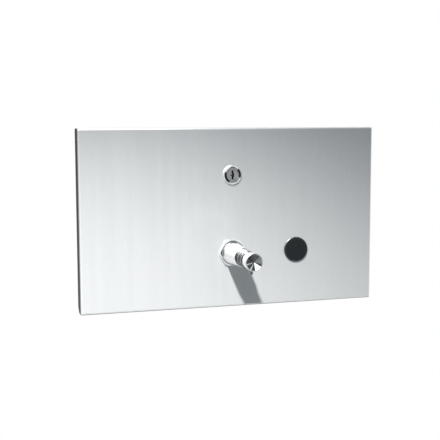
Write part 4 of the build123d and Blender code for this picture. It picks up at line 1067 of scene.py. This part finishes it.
# ---------------------------------------------------------------- the studio
@dataclass(frozen=True)
class Card:
    """A dim patch of the surround: its direction, the cosines of its edge and core, and its level."""

    towards: Triple
    edge: float
    core: float
    level: float


@dataclass
class Studio:
    """Plain pale floor, soft lights and the camera; lengths in metres, angles in degrees."""

    floor_z: float = -1.1
    floor_size: float = 2.6
    key_from: Triple = (-0.305, -0.616, 0.727)
    key_distance: float = 0.949
    key_pivot: Triple = (0.0, -0.081, -0.033)
    key_aim: Triple = (0.234, -0.015, -1.688)
    key_power: float = 584.0
    key_cone: float = 72.1
    key_radius: float = 0.028
    key_colour: Colour = (1.0, 0.985, 0.965)
    shade: Colour = (0.82, 0.93, 1.0)
    camera_turn: Triple = (-16.66, 6.26, -0.16)
    camera_aim: Triple = (-0.0076, 0.0, -0.0034)
    camera_distance: float = 0.859
    camera_sensor: float = 36.0
    camera_lens: float = 72.6
    cards: tuple[Card, ...] = (
        Card((0.34, -0.94, -0.02), 0.62, 0.92, 0.19),
        Card((-0.45, 0.88, -0.1), 0.70, 0.97, 0.06),
        Card((0.285, -0.584, 0.774), 0.93, 0.98, 0.12),
        Card((-0.686, -0.738, -0.109), 0.93, 0.98, 0.12),
    )

    def build(self) -> bpy.types.Object:
        """Make the world, the floor, the key light and the camera.

        Returns:
            The key light.
        """
        self._world()
        self._floor()
        key = self._key()
        self._camera()
        bpy.context.scene.view_settings.view_transform = "Standard"
        return key

    def _world(self) -> None:
        """Make a white surround with dimmer, bluer cards in it, which the metal mirrors."""
        world = bpy.data.worlds.new("studio")
        bpy.context.scene.world = world
        world.use_nodes = True
        nodes = Nodes(world.node_tree)
        towards = nodes.add("ShaderNodeTexCoord").outputs["Generated"]
        level = 1.0
        for card in self.cards:
            near = nodes.vector("DOT_PRODUCT", towards, card.towards).outputs["Value"]
            level = nodes.maths("MULTIPLY", level, nodes.spread(near, card.edge, card.core, 1.0, card.level))
        seen = nodes.add("ShaderNodeLightPath").outputs["Is Camera Ray"]
        strength = nodes.maths("MAXIMUM", level, seen)
        background = nodes.add("ShaderNodeBackground")
        nodes.wire(nodes.mix(nodes.spread(strength, 0.1, 1.0), self.shade, (1.0, 1.0, 1.0)),
                   background.inputs["Color"])
        nodes.wire(strength, background.inputs["Strength"])
        nodes.wire(background.outputs[0], nodes.add("ShaderNodeOutputWorld").inputs[0])

    def _floor(self) -> None:
        """Make a plain pale floor, at a usual height below a wall fitting."""
        bpy.ops.mesh.primitive_plane_add(size=self.floor_size, location=(0, 0, self.floor_z))
        floor = bpy.context.active_object
        floor.name = "floor"
        floor.data.materials.append(FLOOR_PAINT.material())

    def _key(self) -> bpy.types.Object:
        """Make a small soft light at the upper left, which casts the spout's shadow.

        Returns:
            The light.
        """
        place = Vector(self.key_pivot) + Vector(self.key_from).normalized() * self.key_distance
        light = bpy.data.lights.new("key", "SPOT")
        light.energy = self.key_power
        light.color = self.key_colour
        light.spot_size = math.radians(self.key_cone)
        light.spot_blend = 1.0
        light.shadow_soft_size = self.key_radius
        lamp = bpy.data.objects.new("key", light)
        lamp.location = place
        lamp.rotation_mode = "QUATERNION"
        lamp.rotation_quaternion = (Vector(self.key_aim) - place).to_track_quat("-Z", "Y")
        bpy.context.scene.collection.objects.link(lamp)
        return lamp

    @staticmethod
    def light_only(key: bpy.types.Object, *pieces: bpy.types.Object) -> None:
        """Let the key light only these pieces; the surround lights the rest.

        Args:
            key: the key light.
            pieces: the pieces that face it.
        """
        lit = bpy.data.collections.new("lit_by_key")
        for piece in pieces:
            lit.objects.link(piece)
        key.light_linking.receiver_collection = lit

    def _camera(self) -> None:
        """Set the camera in front, a little to the left and above."""
        azimuth, elevation, roll = (math.radians(angle) for angle in self.camera_turn)
        back = Vector((math.sin(azimuth) * math.cos(elevation), -math.cos(azimuth) * math.cos(elevation),
                       math.sin(elevation)))
        lens = bpy.data.cameras.new("camera")
        lens.sensor_width, lens.lens = self.camera_sensor, self.camera_lens
        camera = bpy.data.objects.new("camera", lens)
        camera.rotation_mode = "QUATERNION"
        camera.rotation_quaternion = (-back).to_track_quat("-Z", "Y") @ Quaternion((0, 0, 1), roll)
        camera.location = Vector(self.camera_aim) + back * self.camera_distance
        bpy.context.scene.collection.objects.link(camera)
        bpy.context.scene.camera = camera


def main() -> None:
    """Build the studio and each sub-assembly."""
    key = Studio().build()
    for assembly in (WallBox(), Door(), Tank(), Pump(), Spout(), SightWindow(), KeyLock()):
        assembly.build()
    Studio.light_only(key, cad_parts["door_panel"], bpy.data.objects["push_head"])
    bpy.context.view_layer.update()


if __name__ == "__main__":
    main()
